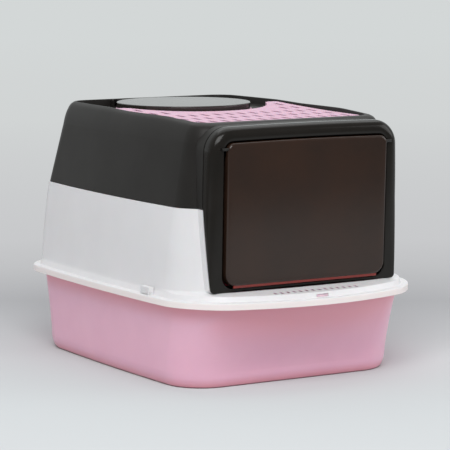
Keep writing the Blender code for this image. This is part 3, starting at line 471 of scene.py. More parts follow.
def rounded(stations: Sequence[Station]) -> list[Station]:
    """Rounds the corners of a closed run of stations.

    Args:
        stations: The stations, with the rounding that each wants.

    Returns:
        The stations with arcs in place of corners.
    """
    made = []
    for index, station in enumerate(stations):
        if station.rounding == 0.0:
            made.append(station)
            continue
        sides = (stations[index - 1], stations[(index + 1) % len(stations)])
        start, end = (station.mix(side, min(station.rounding / station.reach(side), 0.5)) for side in sides)
        for share in (step / BEND_STEPS for step in range(BEND_STEPS + 1)):
            made.append(start.mix(station, share).mix(station.mix(end, share), share))
    return made


def walled(outer: Sequence[Station], wall: float) -> list[Station]:
    """Finds the inner side of a shell's section, a wall's thickness inside its outer side.

    Args:
        outer: The outer stations, from the shell's foot on.
        wall: The wall's thickness.

    Returns:
        The inner stations, in the same order.
    """
    ways = []
    for first, last in zip(outer, outer[1:]):
        way = Vector((last.outline.half_width - first.outline.half_width, last.height - first.height))
        ways.append(way.normalized())
    made = []
    for station, before, after in zip(outer, [ways[0], *ways], [*ways, ways[-1]]):
        inward = Vector((-before.y - after.y, before.x + after.x))
        shift = inward * wall / (1 + before.dot(after))
        change = -wall if before.x * after.y - before.y * after.x > 0 else wall
        soft = max(station.rounding + change, TIGHTEST_BEND) if station.rounding else 0.0
        made.append(Station(station.outline.inset(-shift.x), station.height + shift.y, soft))
    return made


class Mould:
    """A mesh in the making, shaped by bmesh operators. Its methods return it, so they chain."""

    def __init__(self) -> None:
        """Starts empty."""
        self.bm = bmesh.new()

    def skin(self, loops: Sequence[Sequence[Point]], closed: bool = False) -> "Mould":
        """Pulls a ring of edges from loop to loop, which leaves bands of faces behind it.

        Args:
            loops: The rings' points, in order along the shell.
            closed: Whether the last ring joins the first. If not, both ends are capped.

        Returns:
            The mould.
        """
        line = [self.bm.verts.new(point) for point in loops[0]]
        first = ring = [self.bm.edges.new(pair) for pair in zip(line, line[1:] + line[:1])]
        for loop in [*loops[1:], loops[0]] if closed else loops[1:]:
            pulled = bmesh.ops.extrude_edge_only(self.bm, edges=ring)["geom"]
            fresh = {item for item in pulled if isinstance(item, bmesh.types.BMVert)}
            line = [next(e.other_vert(v) for e in v.link_edges if e.other_vert(v) in fresh) for v in line]
            for vert, point in zip(line, loop):
                vert.co = point
            ring = [self.bm.edges.get(pair) for pair in zip(line, line[1:] + line[:1])]
        for end in () if closed else (first, ring):
            bmesh.ops.edgeloop_fill(self.bm, edges=end)
        return self

    def prism(self, points: Sequence[Pair], front: Depth, back: Depth) -> "Mould":
        """Stands an outline up between two depths, each told from the height."""
        return self.skin([[(x, depth(z), z) for x, z in points] for depth in (front, back)]).close()

    def box(self, low: Sequence[float], high: Sequence[float]) -> "Mould":
        """Adds a box between two corners.

        Args:
            low: The corner with the least of each.
            high: The corner with the most of each.

        Returns:
            The mould.
        """
        size = [b - a for a, b in zip(low, high)]
        middle = [(a + b) / 2 for a, b in zip(low, high)]
        place = Matrix.Translation(middle) @ Matrix.Diagonal((*size, 1.0))
        bmesh.ops.create_cube(self.bm, size=1.0, matrix=place)
        return self

    def rod(self, radius: float, middle: Vector, length: float, turn: Matrix, steps: int = 32) -> "Mould":
        """Adds a closed cylinder.

        Args:
            radius: Its radius.
            middle: Its middle.
            length: Its length.
            turn: What lays its axis along the wanted one.
            steps: Steps round it.

        Returns:
            The mould.
        """
        sizes = {"segments": steps, "radius1": radius, "radius2": radius, "depth": length}
        bmesh.ops.create_cone(self.bm, cap_ends=True, matrix=Matrix.Translation(middle) @ turn, **sizes)
        return self

    def bevel(self, edges: Sequence[bmesh.types.BMEdge], width: float, segments: int) -> "Mould":
        """Rounds some edges.

        Args:
            edges: The edges.
            width: The rounding in metres.
            segments: Steps round each edge.

        Returns:
            The mould.
        """
        kept = {"offset_type": "OFFSET", "profile": 0.5, "material": -1, "affect": "EDGES"}
        bmesh.ops.bevel(self.bm, geom=edges, offset=width, segments=segments, **kept)
        return self

    def close(self) -> "Mould":
        """Merges doubles and turns a closed shape's faces outwards.

        Returns:
            The mould.
        """
        bmesh.ops.remove_doubles(self.bm, verts=self.bm.verts, dist=1e-6)
        bmesh.ops.recalc_face_normals(self.bm, faces=self.bm.faces)
        return self

    def piece(self, name: str) -> Piece:
        """Turns the mesh into an object at the origin.

        Args:
            name: The object's name.

        Returns:
            The new object.
        """
        mesh = bpy.data.meshes.new(name)
        self.bm.to_mesh(mesh)
        self.bm.free()
        made = bpy.data.objects.new(name, mesh)
        bpy.context.scene.collection.objects.link(made)
        return made

    def into(self, piece: Piece, join: Join) -> None:
        """Cuts a piece with this mesh, or joins this mesh to it."""
        combine(piece, self.piece("tool"), join)


def pin_hole(pin: str, gap: float, length: float, turn: Matrix) -> Mould:
    """Makes the hole that a pin turns in.

    Args:
        pin: The pin's node.
        gap: What the hole keeps to the pin.
        length: The hole's length.
        turn: What lays the hole along the pin.

    Returns:
        A closed rod.
    """
    low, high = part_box(pin)
    return Mould().rod((high.z - low.z) / 2 + gap, (low + high) / 2, length, turn)


def bake(piece: Piece) -> None:
    """Applies the modifiers of a piece to its mesh.

    Args:
        piece: The piece, which has none of them left.
    """
    graph = bpy.context.evaluated_depsgraph_get()
    mesh = bpy.data.meshes.new_from_object(piece.evaluated_get(graph))
    old = piece.data
    piece.modifiers.clear()
    piece.data = mesh
    bpy.data.meshes.remove(old)
    mesh.name = piece.name


def combine(piece: Piece, tool: Piece, join: Join) -> None:
    """Cuts a piece with, or joins it to, another mesh, which is then removed.

    Args:
        piece: The mesh that changes.
        tool: The mesh that cuts or is added.
        join: Which of these is done.
    """
    change = piece.modifiers.new("join", "BOOLEAN")
    change.operation = join.value
    change.solver = "EXACT"
    change.object = tool
    bake(piece)
    bpy.data.objects.remove(tool, do_unlink=True)


def soften_edges(piece: Piece, width: float, angle: float = 40.0, segments: int = 2) -> None:
    """Rounds the sharp edges of a piece.

    Args:
        piece: The piece.
        width: The rounding in metres.
        angle: Edges sharper than this many degrees are rounded.
        segments: Steps round each edge.
    """
    edge = piece.modifiers.new("edge", "BEVEL")
    edge.width = width
    edge.segments = segments
    edge.limit_method = "ANGLE"
    edge.angle_limit = math.radians(angle)
    edge.use_clamp_overlap = True
    bake(piece)


def line_cuts(piece: Piece, finish: Finish, inside: Callable[[Vector], bool]) -> None:
    """Gives some standing faces of a dressed piece a finish of their own.

    Args:
        piece: The dressed piece.
        finish: The finish of those faces.
        inside: Tells from a standing face's middle whether it is one of them.
    """
    piece.data.materials.append(finish.build())
    for face in piece.data.polygons:
        if abs(face.normal.z) < 0.5 and inside(face.center):
            face.material_index = 1


def dress(piece: Piece, finish: Finish, body: str, stands_for: str = "") -> None:
    """Gives a finished piece its material, its shading and its place in the frame.

    Args:
        piece: The piece at the origin.
        finish: What it is made of.
        body: The body that carries it.
        stands_for: The node that it replaces, if any.
    """
    piece.data.materials.clear()
    piece.data.materials.append(finish.build())
    piece.data.shade_smooth()
    piece.data.set_sharp_from_angle(angle=math.radians(35))
    piece.modifiers.new("even_normals", "WEIGHTED_NORMAL").keep_sharp = True
    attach(piece, body)
    if stands_for:
        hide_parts(stands_for)
    LOG.info("%s: %d faces, %s, on %s", piece.name, len(piece.data.polygons), finish.name, body)


@dataclass(frozen=True)
class BodyPlan:
    """The outlines that the tray and the hoods share."""

    rim_length: float = 0.560
    rim_width: float = 0.415
    rim_bows: Point = (0.0088, 0.0493, 0.0046)  # at the sides, the front and the back
    rim_radii: Pair = (0.062, 0.0585)  # of the front corners and the back ones
    rim_bottom: float = 0.1195
    rim_band: float = 0.0075
    rim_round: float = 0.0022
    riser_inset: float = 0.0125
    seam_height: float = 0.2552
    roof_height: float = 0.3768
    recess_depth: float = 0.010
    hood_wall: float = 0.0025
    hole_y: float = 0.1167
    hole_radius: float = 0.0925
    collar_height: float = 0.0068
    window_wall: float = 0.0008
    gap: float = 0.0003

    @property
    def rim(self) -> Outline:
        """The outer edge of the rim, whose bows reach its full width and length."""
        halves = (self.rim_width / 2, self.rim_length / 2, self.rim_length / 2)
        size = [half - bow for half, bow in zip(halves, self.rim_bows)]
        return Outline(*size, *self.rim_radii, *self.rim_bows)

    @property
    def seam(self) -> Outline:
        """The outer edge of the lower hood's top."""
        return Outline(0.1720, 0.2035, 0.2585, 0.045, 0.030, side_bow=0.0106, taper=0.0033)

    @property
    def shoulder(self) -> Outline:
        """The outer edge of the upper hood where its wall turns into the roof."""
        return Outline(0.1590, 0.2012, 0.2445, 0.038, 0.0465, side_bow=0.0085, taper=0.0030)

    @property
    def band_top(self) -> float:
        """Height of the flat on top of the rim band."""
        return self.rim_bottom + self.rim_band + self.rim_round

    @property
    def floor(self) -> float:
        """Height of the floor of the roof's recess."""
        return self.roof_height - self.recess_depth


@dataclass
class Tray:
    """The deep tray with its flange and the tongue behind the front window."""

    plan: BodyPlan
    wall: float = 0.0026
    foot: Outline = Outline(0.1715, 0.1938, 0.2486, 0.052, 0.052, side_bow=0.0056, taper=0.0015)
    heel_rise: float = 0.022
    heel_spread: float = 0.0085
    heel_shares: tuple[Pair, ...] = ((0.0, 0.0), (0.1, 0.28), (0.3, 0.58), (0.6, 0.85), (1.0, 1.0))
    heel_steps: int = 3
    wall_steps: int = 14
    wall_swell: float = 1.3
    inset: float = 0.0165
    neck_rise: float = 0.0045
    neck_radius: float = 0.0475
    flange_inset: float = 0.005
    lip_round: float = 0.0009
    tongue_width: float = 0.025
    tongue_depth: float = 0.0026
    tongue_height: float = 0.0066

    @property
    def top(self) -> float:
        """Height of the flange's top."""
        return self.plan.band_top - self.plan.hood_wall - self.plan.gap

    @property
    def tongue_front(self) -> float:
        """How far before the middle the tongue's face stands."""
        return self.plan.rim_length / 2 - self.plan.riser_inset - self.plan.window_wall - self.plan.gap

    def stations(self) -> list[Station]:
        """Lists the levels from the foot to the flange and back down the inner side.

        Returns:
            The tray's stations, rounded.
        """
        under = self.top - self.wall
        heel = self.foot.inset(-self.heel_spread)
        neck = replace(self.plan.rim.inset(self.inset), back_radius=self.neck_radius)
        climb = under - self.neck_rise - self.heel_rise
        shares = eased(self.heel_shares, self.heel_steps)
        made = [Station(self.foot.blend(heel, out), self.heel_rise * up) for up, out in shares]
        for share in (step / self.wall_steps for step in range(1, self.wall_steps)):
            made.append(Station(heel.blend(neck, share**self.wall_swell), self.heel_rise + climb * share))
        made.append(Station(neck, under, self.neck_rise))
        made.append(Station(self.plan.rim.inset(self.flange_inset), under, self.lip_round))
        return rounded(made + walled(made, self.wall)[::-1])

    def on_tongue(self, point: Vector) -> bool:
        """Whether a point lies on the tongue above the flange.

        Args:
            point: The point.

        Returns:
            True if it does.
        """
        near = abs(point.x) < self.tongue_width / 2 + NEAR
        ahead = point.y < self.tongue_depth + 2 * NEAR - self.tongue_front
        return near and ahead and point.z > self.plan.band_top - self.plan.hood_wall

    def build(self) -> None:
        """Builds and dresses the tray."""
        tray = Mould().skin([station.points() for station in self.stations()]).close().piece("tray_shell")
        half, front = self.tongue_width / 2, -self.tongue_front
        low = (-half, front, self.top - self.wall - self.neck_rise / 2)
        high = (half, front + self.tongue_depth, self.top + self.tongue_height)
        Mould().box(low, high).into(tray, Join.ADD)
        dress(tray, PINK_POLYPROPYLENE, "tray", "litter_tray")
        # The tongue's standing faces take the paler painted glow.
        line_cuts(tray, TONGUE_PAINTED_GLOW, self.on_tongue)


@dataclass
class DoorwayPlan:
    """The standing outlines of the doorway, the frame and the door."""

    half_width: float = 0.155
    side_bow: float = 0.0036
    crown: float = 0.002
    bottom: float = 0.1392
    top: float = 0.3685
    front_low: float = 0.2225
    front_high: float = 0.230
    back_low: float = 0.2215
    back_high: float = 0.208
    seam_height: float = 0.2552
    spigot_inset: float = 0.0029
    spigot_back: float = 0.192
    collar_back: float = 0.185
    top_radius: float = 0.033
    bottom_radius: float = 0.006
    opening_radius: float = 0.019
    face: float = 0.0183
    chamfer: float = 0.0007
    sill: float = 0.0043
    clearance: float = 0.0004
    overrun: float = 0.02
    cut_reach: float = 0.006

    @property
    def opening_inset(self) -> float:
        """How far the opening lies inside the frame's outline."""
        return self.face + self.chamfer

    def front_of(self, height: float) -> float:
        """The front plane of the frame at a height."""
        share = (height - self.bottom) / (self.top - self.bottom)
        return -(self.front_low + (self.front_high - self.front_low) * share)

    def slope_of(self, height: float) -> float:
        """The plane that the frame's back edge follows below the seam."""
        share = (height - self.bottom) / (self.seam_height - self.bottom)
        return -(self.back_low + (self.back_high - self.back_low) * share)

    def back_of(self, height: float) -> float:
        """The back edge of the frame's outer skin at a height."""
        return min(self.slope_of(height), -self.back_high)

    def upright(self, half: float, low: float, high: float, radii: Pair, bow: float = 0.0) -> list[Pair]:
        """Lists the points of a standing rounded rectangle with bowed sides and a crowned top.

        Args:
            half: Half of its width.
            low: Its bottom.
            high: Its top.
            radii: The radius of its bottom corners and of its top ones.
            bow: How far its sides bow out.

        Returns:
            Pairs of across and height.
        """
        middle = (self.top + self.bottom) / 2
        half_height = (self.top - self.bottom) / 2
        made = []
        for x, z in rounded_box(half, low, high, radii, UPRIGHT_STEPS):
            across = x / half
            up = (z - middle) / half_height
            rise = self.crown * (1 - across * across) * max(up, 0.0) ** 2
            made.append((x + across * bow * max(1 - up * up, 0.0), z + rise))
        return made

    def inset_points(self, inset: float) -> list[Pair]:
        """Lists the frame's outline drawn in by an inset, less so at its low sill.

        Args:
            inset: How far it is drawn in.

        Returns:
            Pairs of across and height.
        """
        share = inset / self.opening_inset
        low_radius = self.bottom_radius + (self.opening_radius - self.bottom_radius) * share
        radii = (low_radius, self.top_radius - inset)
        low, high = self.bottom + self.sill * share, self.top - inset
        return self.upright(self.half_width - inset, low, high, radii, self.side_bow * (1 - share))

    def cutter(self) -> Mould:
        """Makes the shape that cuts the doorway through a hood.

        Returns:
            A closed mesh.
        """
        inset = self.spigot_inset - self.clearance
        radii = (self.bottom_radius, self.top_radius - inset)
        bow = self.side_bow * (1 - inset / self.opening_inset)
        low, high = self.bottom - self.clearance, self.top - inset
        points = self.upright(self.half_width - inset, low, high, radii, bow)
        front, back = -self.front_high - self.overrun, self.cut_reach - self.collar_back
        return Mould().prism(points, lambda z: front, lambda z: back)

    def collar(self, front: Depth, low: float, high: float, gap: float) -> Piece:
        """Makes the block between a hood's wall and the frame.

        Args:
            front: Depth of its front at a height.
            low: Its lowest height.
            high: Its highest height.
            gap: What it keeps to the frame.

        Returns:
            A closed mesh.
        """
        block = Mould().prism(self.inset_points(0.0), lambda z: front(z) + gap, lambda z: -self.collar_back)
        made = block.piece("collar")
        span = self.half_width + self.side_bow + self.overrun
        Mould().box((-span, -self.front_high, low), (span, 0.0, high)).into(made, Join.KEEP)
        return made


@dataclass
class LowerHood:
    """The pale lower hood: rim band, riser with a window, slotted ledge and walls."""

    plan: BodyPlan
    doorway: DoorwayPlan
    riser_height: float = 0.0073
    riser_lean: float = 0.0025
    riser_round: float = 0.0004
    ledge_rise: float = 0.0024
    wall_foot_inset: float = 0.0130
    wall_foot_front: float = 0.222
    wall_foot_radius: float = 0.076
    wall_belly: float = 0.0010
    wall_steps: int = 12
    foot_fillet: float = 0.002
    lip_round: float = 0.0008
    slot_count: int = 14
    slot_pitch: float = 0.0104
    slot_width: float = 0.0042
    slot_length: float = 0.010
    slot_middle_y: float = -0.252
    cut_round: float = 0.0005
    window_width: float = 0.0202
    window_height: float = 0.0042
    pocket_width: float = 0.0285
    pocket_depth: float = 0.0045
    lug_round: float = 0.0004
    groove: float = 0.0012
    overrun: float = 0.02

    @property
    def riser_top(self) -> float:
        """Height of the riser's top edge."""
        return self.plan.band_top + self.riser_height

    @property
    def riser_y(self) -> float:
        """Where the riser's face stands at its top, in the middle of the front."""
        return self.plan.riser_inset - self.plan.rim_length / 2

    def stations(self) -> list[Station]:
        """Lists the levels from the rim's lower edge to the seam and back down the inner side.

        Returns:
            The hood's stations, rounded.
        """
        rim, band = self.plan.rim, self.plan.band_top
        drawn_in = {"front": self.wall_foot_front, "front_bow": 0.0, "front_radius": self.wall_foot_radius}
        wall_foot = replace(rim.inset(self.wall_foot_inset), **drawn_in)
        foot_height = self.riser_top + self.ledge_rise
        made = [
            Station(rim, self.plan.rim_bottom, self.lip_round),
            Station(rim, band, self.plan.rim_round),
            Station(rim.inset(self.plan.riser_inset - self.riser_lean), band, self.riser_round),
            Station(rim.inset(self.plan.riser_inset), self.riser_top, self.riser_round),
            Station(wall_foot, foot_height, self.foot_fillet),
        ]
        for share in (step / self.wall_steps for step in range(1, self.wall_steps + 1)):
            swell = 4 * self.wall_belly * share * (1 - share)
            level = wall_foot.blend(self.plan.seam, share)
            level = replace(level, half_width=level.half_width + swell, back=level.back + swell)
            height = foot_height + (self.plan.seam_height - foot_height) * share
            made.append(Station(level, height, self.lip_round if share == 1 else 0.0))
        return rounded(made + walled(made, self.plan.hood_wall)[::-1])

    def ledge_cuts(self) -> Mould:
        """Makes the shapes of the ledge's slots and the riser's window.

        Returns:
            Separate boxes with rounded edges.
        """
        cuts = Mould()
        half, reach = self.slot_width / 2, self.slot_length / 2
        for index in range(self.slot_count):
            x = (index - (self.slot_count - 1) / 2) * self.slot_pitch
            low = (x - half, self.slot_middle_y - reach, self.plan.rim_bottom)
            cuts.box(low, (x + half, self.slot_middle_y + reach, self.riser_top + self.overrun))
        half, sill = self.window_width / 2, self.plan.band_top + self.plan.gap
        inner = self.riser_y + self.plan.hood_wall + self.riser_round
        cuts.box((-half, self.riser_y - self.overrun, sill), (half, inner, sill + self.window_height))
        return cuts.bevel(cuts.bm.edges[:], self.cut_round, 2)

    def pocket(self) -> Mould:
        """Makes the hollow behind the window, where the tray's tongue stands close to the front.

        Returns:
            A closed box.
        """
        half, face = self.pocket_width / 2, self.riser_y + self.plan.window_wall
        high = (half, face + self.pocket_depth, self.riser_top - self.plan.hood_wall / 2)
        return Mould().box((-half, face, self.plan.rim_bottom), high)

    def clip_room(self, side: Side) -> Mould:
        """Makes the notch in the leaning riser that a clip stands in.

        Args:
            side: Which of the two clips.

        Returns:
            A closed box, a gap wider than the clip.
        """
        low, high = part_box(side.node("side_clip"))
        margin = Vector((self.plan.gap, self.plan.gap, self.plan.gap / 2))
        return Mould().box(low - margin, high + margin)

    def in_slot(self, point: Vector) -> bool:
        """Whether a point of the ledge lies on a slot's wall."""
        half_row = self.slot_count * self.slot_pitch / 2
        return abs(point.x) < half_row and abs(point.y - self.slot_middle_y) < self.slot_length / 2 + NEAR

    def build(self) -> None:
        """Builds and dresses the lower hood."""
        loops = [station.points() for station in self.stations()]
        hood = Mould().skin(loops, closed=True).close().piece("lower_hood_shell")
        low = self.riser_top + self.ledge_rise - self.plan.hood_wall / 2
        high = self.plan.seam_height - self.plan.gap
        combine(hood, self.doorway.collar(self.doorway.slope_of, low, high, self.groove), Join.ADD)
        rooms = [self.clip_room(side) for side in Side]
        for cut in (self.doorway.cutter(), self.ledge_cuts(), self.pocket(), *rooms):
            cut.into(hood, Join.CUT)
        dress(hood, WHITE_POLYPROPYLENE, "lower", "lower_hood")
        # The slot walls take the painted pink bounce light.
        line_cuts(hood, SLOT_PAINTED_BOUNCE, self.in_slot)
        self.build_lugs()

    def build_lugs(self) -> None:
        """Adds the lugs that hold the clip pins, with softened edges."""
        gap = self.plan.gap
        foot = self.plan.band_top - self.plan.hood_wall / 2
        for side in Side:
            pin_low, pin_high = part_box(side.node("clip_pin"))
            low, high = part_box(side.node("side_clip"))
            lugs = Mould()
            for near, far in ((high.y + gap, pin_high.y - gap), (pin_low.y + gap, low.y - gap)):
                lugs.box((low.x, near, foot), (high.x, far, high.z))
            piece = lugs.piece(side.node("clip_lugs"))
            reach = 2 * (pin_high.y - pin_low.y)
            pin_hole(side.node("clip_pin"), gap, reach, ALONG_Y).into(piece, Join.CUT)
            soften_edges(piece, self.lug_round)
            dress(piece, WHITE_POLYPROPYLENE, "lower")


@dataclass
class UpperHood:
    """The dark upper hood: walls, roof rail, recess, hole collar and hinge lugs."""

    plan: BodyPlan
    doorway: DoorwayPlan
    seam_step: float = 0.0016
    wall_steps: int = 10
    shoulder_height: float = 0.345
    shoulder_shares: tuple[Pair, ...] = ((0.0, 0.0), (0.34, 0.14), (0.65, 0.35), (0.88, 0.63), (1.0, 1.0))
    shoulder_steps: int = 4
    crest_inset: float = 0.0165
    crest_width: float = 0.0026
    crest_drop: float = 0.0056
    crest_drop_start: float = 0.090
    crest_round: float = 0.0010
    recess_draft: float = 0.0010
    recess_front: float = 0.172
    recess_fillet: float = 0.0012
    back_rise: float = 0.0018
    back_rise_start: float = 0.020
    back_rise_end: float = 0.085
    groove: float = 0.0016
    lug_width: float = 0.0036
    lug_radius: float = 0.0032
    lug_round: float = 0.0003

    def crest_height(self, y: float, height: float) -> float:
        """Bends the level roof: its rail drops towards the door frame and rises a little behind the lid.

        Args:
            y: Where along the box.
            height: The height of a level roof there.

        Returns:
            The height.
        """
        run = max(-y - self.crest_drop_start, 0.0) / (self.plan.shoulder.front - self.crest_drop_start)
        back = min(max(y - self.back_rise_start, 0.0) / (self.back_rise_end - self.back_rise_start), 1.0)
        rise = max(height - self.shoulder_height, 0.0) / (self.plan.roof_height - self.shoulder_height)
        sunk = min(max(height - self.plan.floor, 0.0) / self.plan.recess_depth, 1.0)
        return height - self.crest_drop * run * rise + self.back_rise * back * sunk

    def circle(self, radius: float, height: float) -> list[Point]:
        """Lists a circle round the hole, with as many points as an outline has.

        Args:
            radius: Its radius.
            height: Its height.

        Returns:
            Points in metres, from the front left.
        """
        steps = len(self.plan.seam.points(height))
        turns = [2 * math.pi * (step / steps) - 0.75 * math.pi for step in range(steps)]
        return [(radius * math.cos(a), self.plan.hole_y + radius * math.sin(a), height) for a in turns]

    def loops(self) -> list[list[Point]]:
        """Lists the rings of the inner side, the outer side, the rail, the recess floor and the collar.

        Returns:
            Rings of points.
        """
        shoulder = self.plan.shoulder
        crest = shoulder.inset(self.crest_inset)
        seam, foot = self.plan.seam.inset(self.seam_step), self.plan.seam_height + self.plan.gap
        turn = self.plan.roof_height - self.shoulder_height
        made = []
        for share in (step / self.wall_steps for step in range(self.wall_steps)):
            made.append(Station(seam.blend(shoulder, share), foot + (self.shoulder_height - foot) * share))
        for up, inward in eased(self.shoulder_shares, self.shoulder_steps)[:-1]:
            made.append(Station(shoulder.blend(crest, inward), self.shoulder_height + turn * up))
        inner = replace(crest.inset(self.crest_width), front=self.recess_front + self.recess_draft)
        sunk = replace(crest.inset(self.crest_width + self.recess_draft), front=self.recess_front)
        made.append(Station(crest, self.plan.roof_height, self.crest_round))
        made.append(Station(inner, self.plan.roof_height, self.crest_round))
        made.append(Station(sunk, self.plan.floor, self.recess_fillet))
        made.append(Station(sunk.inset(4 * self.recess_fillet), self.plan.floor))
        whole = rounded(made + walled(made, self.plan.hood_wall)[::-1])
        start = 1 + whole.index(made[-1])
        rings = [
            [(x, y, self.crest_height(y, z)) for x, y, z in station.points()]
            for station in whole[start:] + whole[:start]
        ]
        hole, wall, floor = self.plan.hole_radius, self.plan.hood_wall, self.plan.floor
        top = floor + self.plan.collar_height
        levels = ((hole + wall, floor), (hole + wall, top), (hole, top), (hole, floor - wall))
        return rings + [self.circle(radius, height) for radius, height in levels]

    def build(self) -> None:
        """Builds and dresses the upper hood."""
        hood = Mould().skin(self.loops(), closed=True).close().piece("upper_hood_shell")
        way, high = self.doorway, self.plan.roof_height
        low = self.plan.seam_height + 2 * self.plan.gap
        combine(hood, way.collar(lambda z: -way.back_high, low, high, self.groove), Join.ADD)
        way.cutter().into(hood, Join.CUT)
        dress(hood, DARK_POLYPROPYLENE, "upper", "upper_hood")
        self.build_lugs()

    def build_lugs(self) -> None:
        """Adds the round-topped lugs that hold the lid's pins."""
        gap, half, radius = self.plan.gap, self.lug_width / 2, self.lug_radius
        foot = self.plan.floor - self.plan.hood_wall / 2
        for side in Side:
            low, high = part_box(side.node("lid_pin"))
            axis = (low + high) / 2
            places = (low.x + half + gap, high.x - half - gap)
            lugs = Mould()
            for x in places:
                lugs.box((x - half, axis.y - radius, foot), (x + half, axis.y + radius, axis.z))
            piece = lugs.piece(side.node("lid_lugs"))
            for x in places:
                top = Mould().rod(radius, Vector((x, axis.y, axis.z)), self.lug_width, ALONG_X)
                top.into(piece, Join.ADD)
            reach = 2 * (high.x - low.x)
            pin_hole(side.node("lid_pin"), gap, reach, ALONG_X).into(piece, Join.CUT)
            soften_edges(piece, self.lug_round, angle=60.0)
            dress(piece, DARK_POLYPROPYLENE, "upper")


def door_axis() -> Vector:
    """The middle of the door's turning line, from its pins."""
    low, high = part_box("door_pin_right")
    return Vector((0.0, (low.y + high.y) / 2, (low.z + high.z) / 2))


@dataclass
class DoorFrame:
    """The glossy frame: a channel round the door, open at the back."""

    doorway: DoorwayPlan
    round_max: float = 0.0135
    round_share: float = 0.6
    round_steps: int = 8
    wall: float = 0.0025
    hollow_depth: float = 0.0055
    edge_round: float = 0.0007
    socket_radius: float = 0.0025

    def rounding(self, height: float) -> float:
        """The rounding of the front edge, which shrinks with the skin's depth."""
        depth = self.doorway.back_of(height) - self.doorway.front_of(height)
        return min(self.round_max, depth * self.round_share)

    def loops(self) -> list[list[Point]]:
        """Lists the rings round the channel's closed section.

        Returns:
            Rings of points.
        """
        way, edge = self.doorway, self.edge_round
        spigot = way.inset_points(way.spigot_inset)
        outer, drawn_in = way.inset_points(0.0), way.inset_points(self.round_max)
        made = [
            [(x, -way.spigot_back, z) for x, z in spigot],
            [(x, way.back_of(z), z) for x, z in spigot],
            [(x, way.back_of(z), z) for x, z in way.inset_points(edge)],
            [(x, way.back_of(z) - edge, z) for x, z in outer],
        ]
        for cosine, sine in quarter(0.0, self.round_steps):
            inward, loop = 1 - cosine, []
            for (x, z), (inner_x, inner_z) in zip(outer, drawn_in):
                depth = way.front_of(z) + (1 - sine) * self.rounding(z)
                loop.append((x + (inner_x - x) * inward, depth, z + (inner_z - z) * inward))
            made.append(loop)
        full = way.opening_inset
        rims = ((way.face - edge, 0.0), (way.face, edge / 2))
        for inset, depth in (*rims, (full - edge / 2, way.chamfer), (full, way.chamfer + edge)):
            made.append([(x, way.front_of(z) + depth, z) for x, z in way.inset_points(inset)])
        made.append([(x, -way.spigot_back, z) for x, z in way.inset_points(full)])
        return made

    def hollow(self) -> Mould:
        """Makes the shape of the channel's hollow, behind both sides and the top.

        Returns:
            A closed mesh.
        """
        way = self.doorway
        foot = way.bottom + way.sill + way.bottom_radius
        arches = []
        for inset in (way.spigot_inset + self.wall, way.opening_inset - self.wall):
            arch = [(x, z) for x, z in way.inset_points(inset) if z > foot]
            start = arch.index(min(arch, key=lambda point: (point[0] < 0, point[1])))
            arch = arch[start:] + arch[:start]
            arches.append([(arch[0][0], foot), *arch, (arch[-1][0], foot)])
        back = way.overrun - way.spigot_back
        points = arches[0] + arches[1][::-1]
        return Mould().prism(points, lambda z: way.front_of(z) + self.hollow_depth, lambda z: back)

    def build(self) -> None:
        """Builds and dresses the frame."""
        piece = Mould().skin(self.loops(), closed=True).close().piece("door_frame_shell")
        self.hollow().into(piece, Join.CUT)
        reach = self.doorway.half_width - self.doorway.spigot_inset - 2 * self.wall
        Mould().rod(self.socket_radius, door_axis(), 2 * reach, ALONG_X).into(piece, Join.CUT)
        dress(piece, BLACK_POLYSTYRENE, "upper", "door_frame")


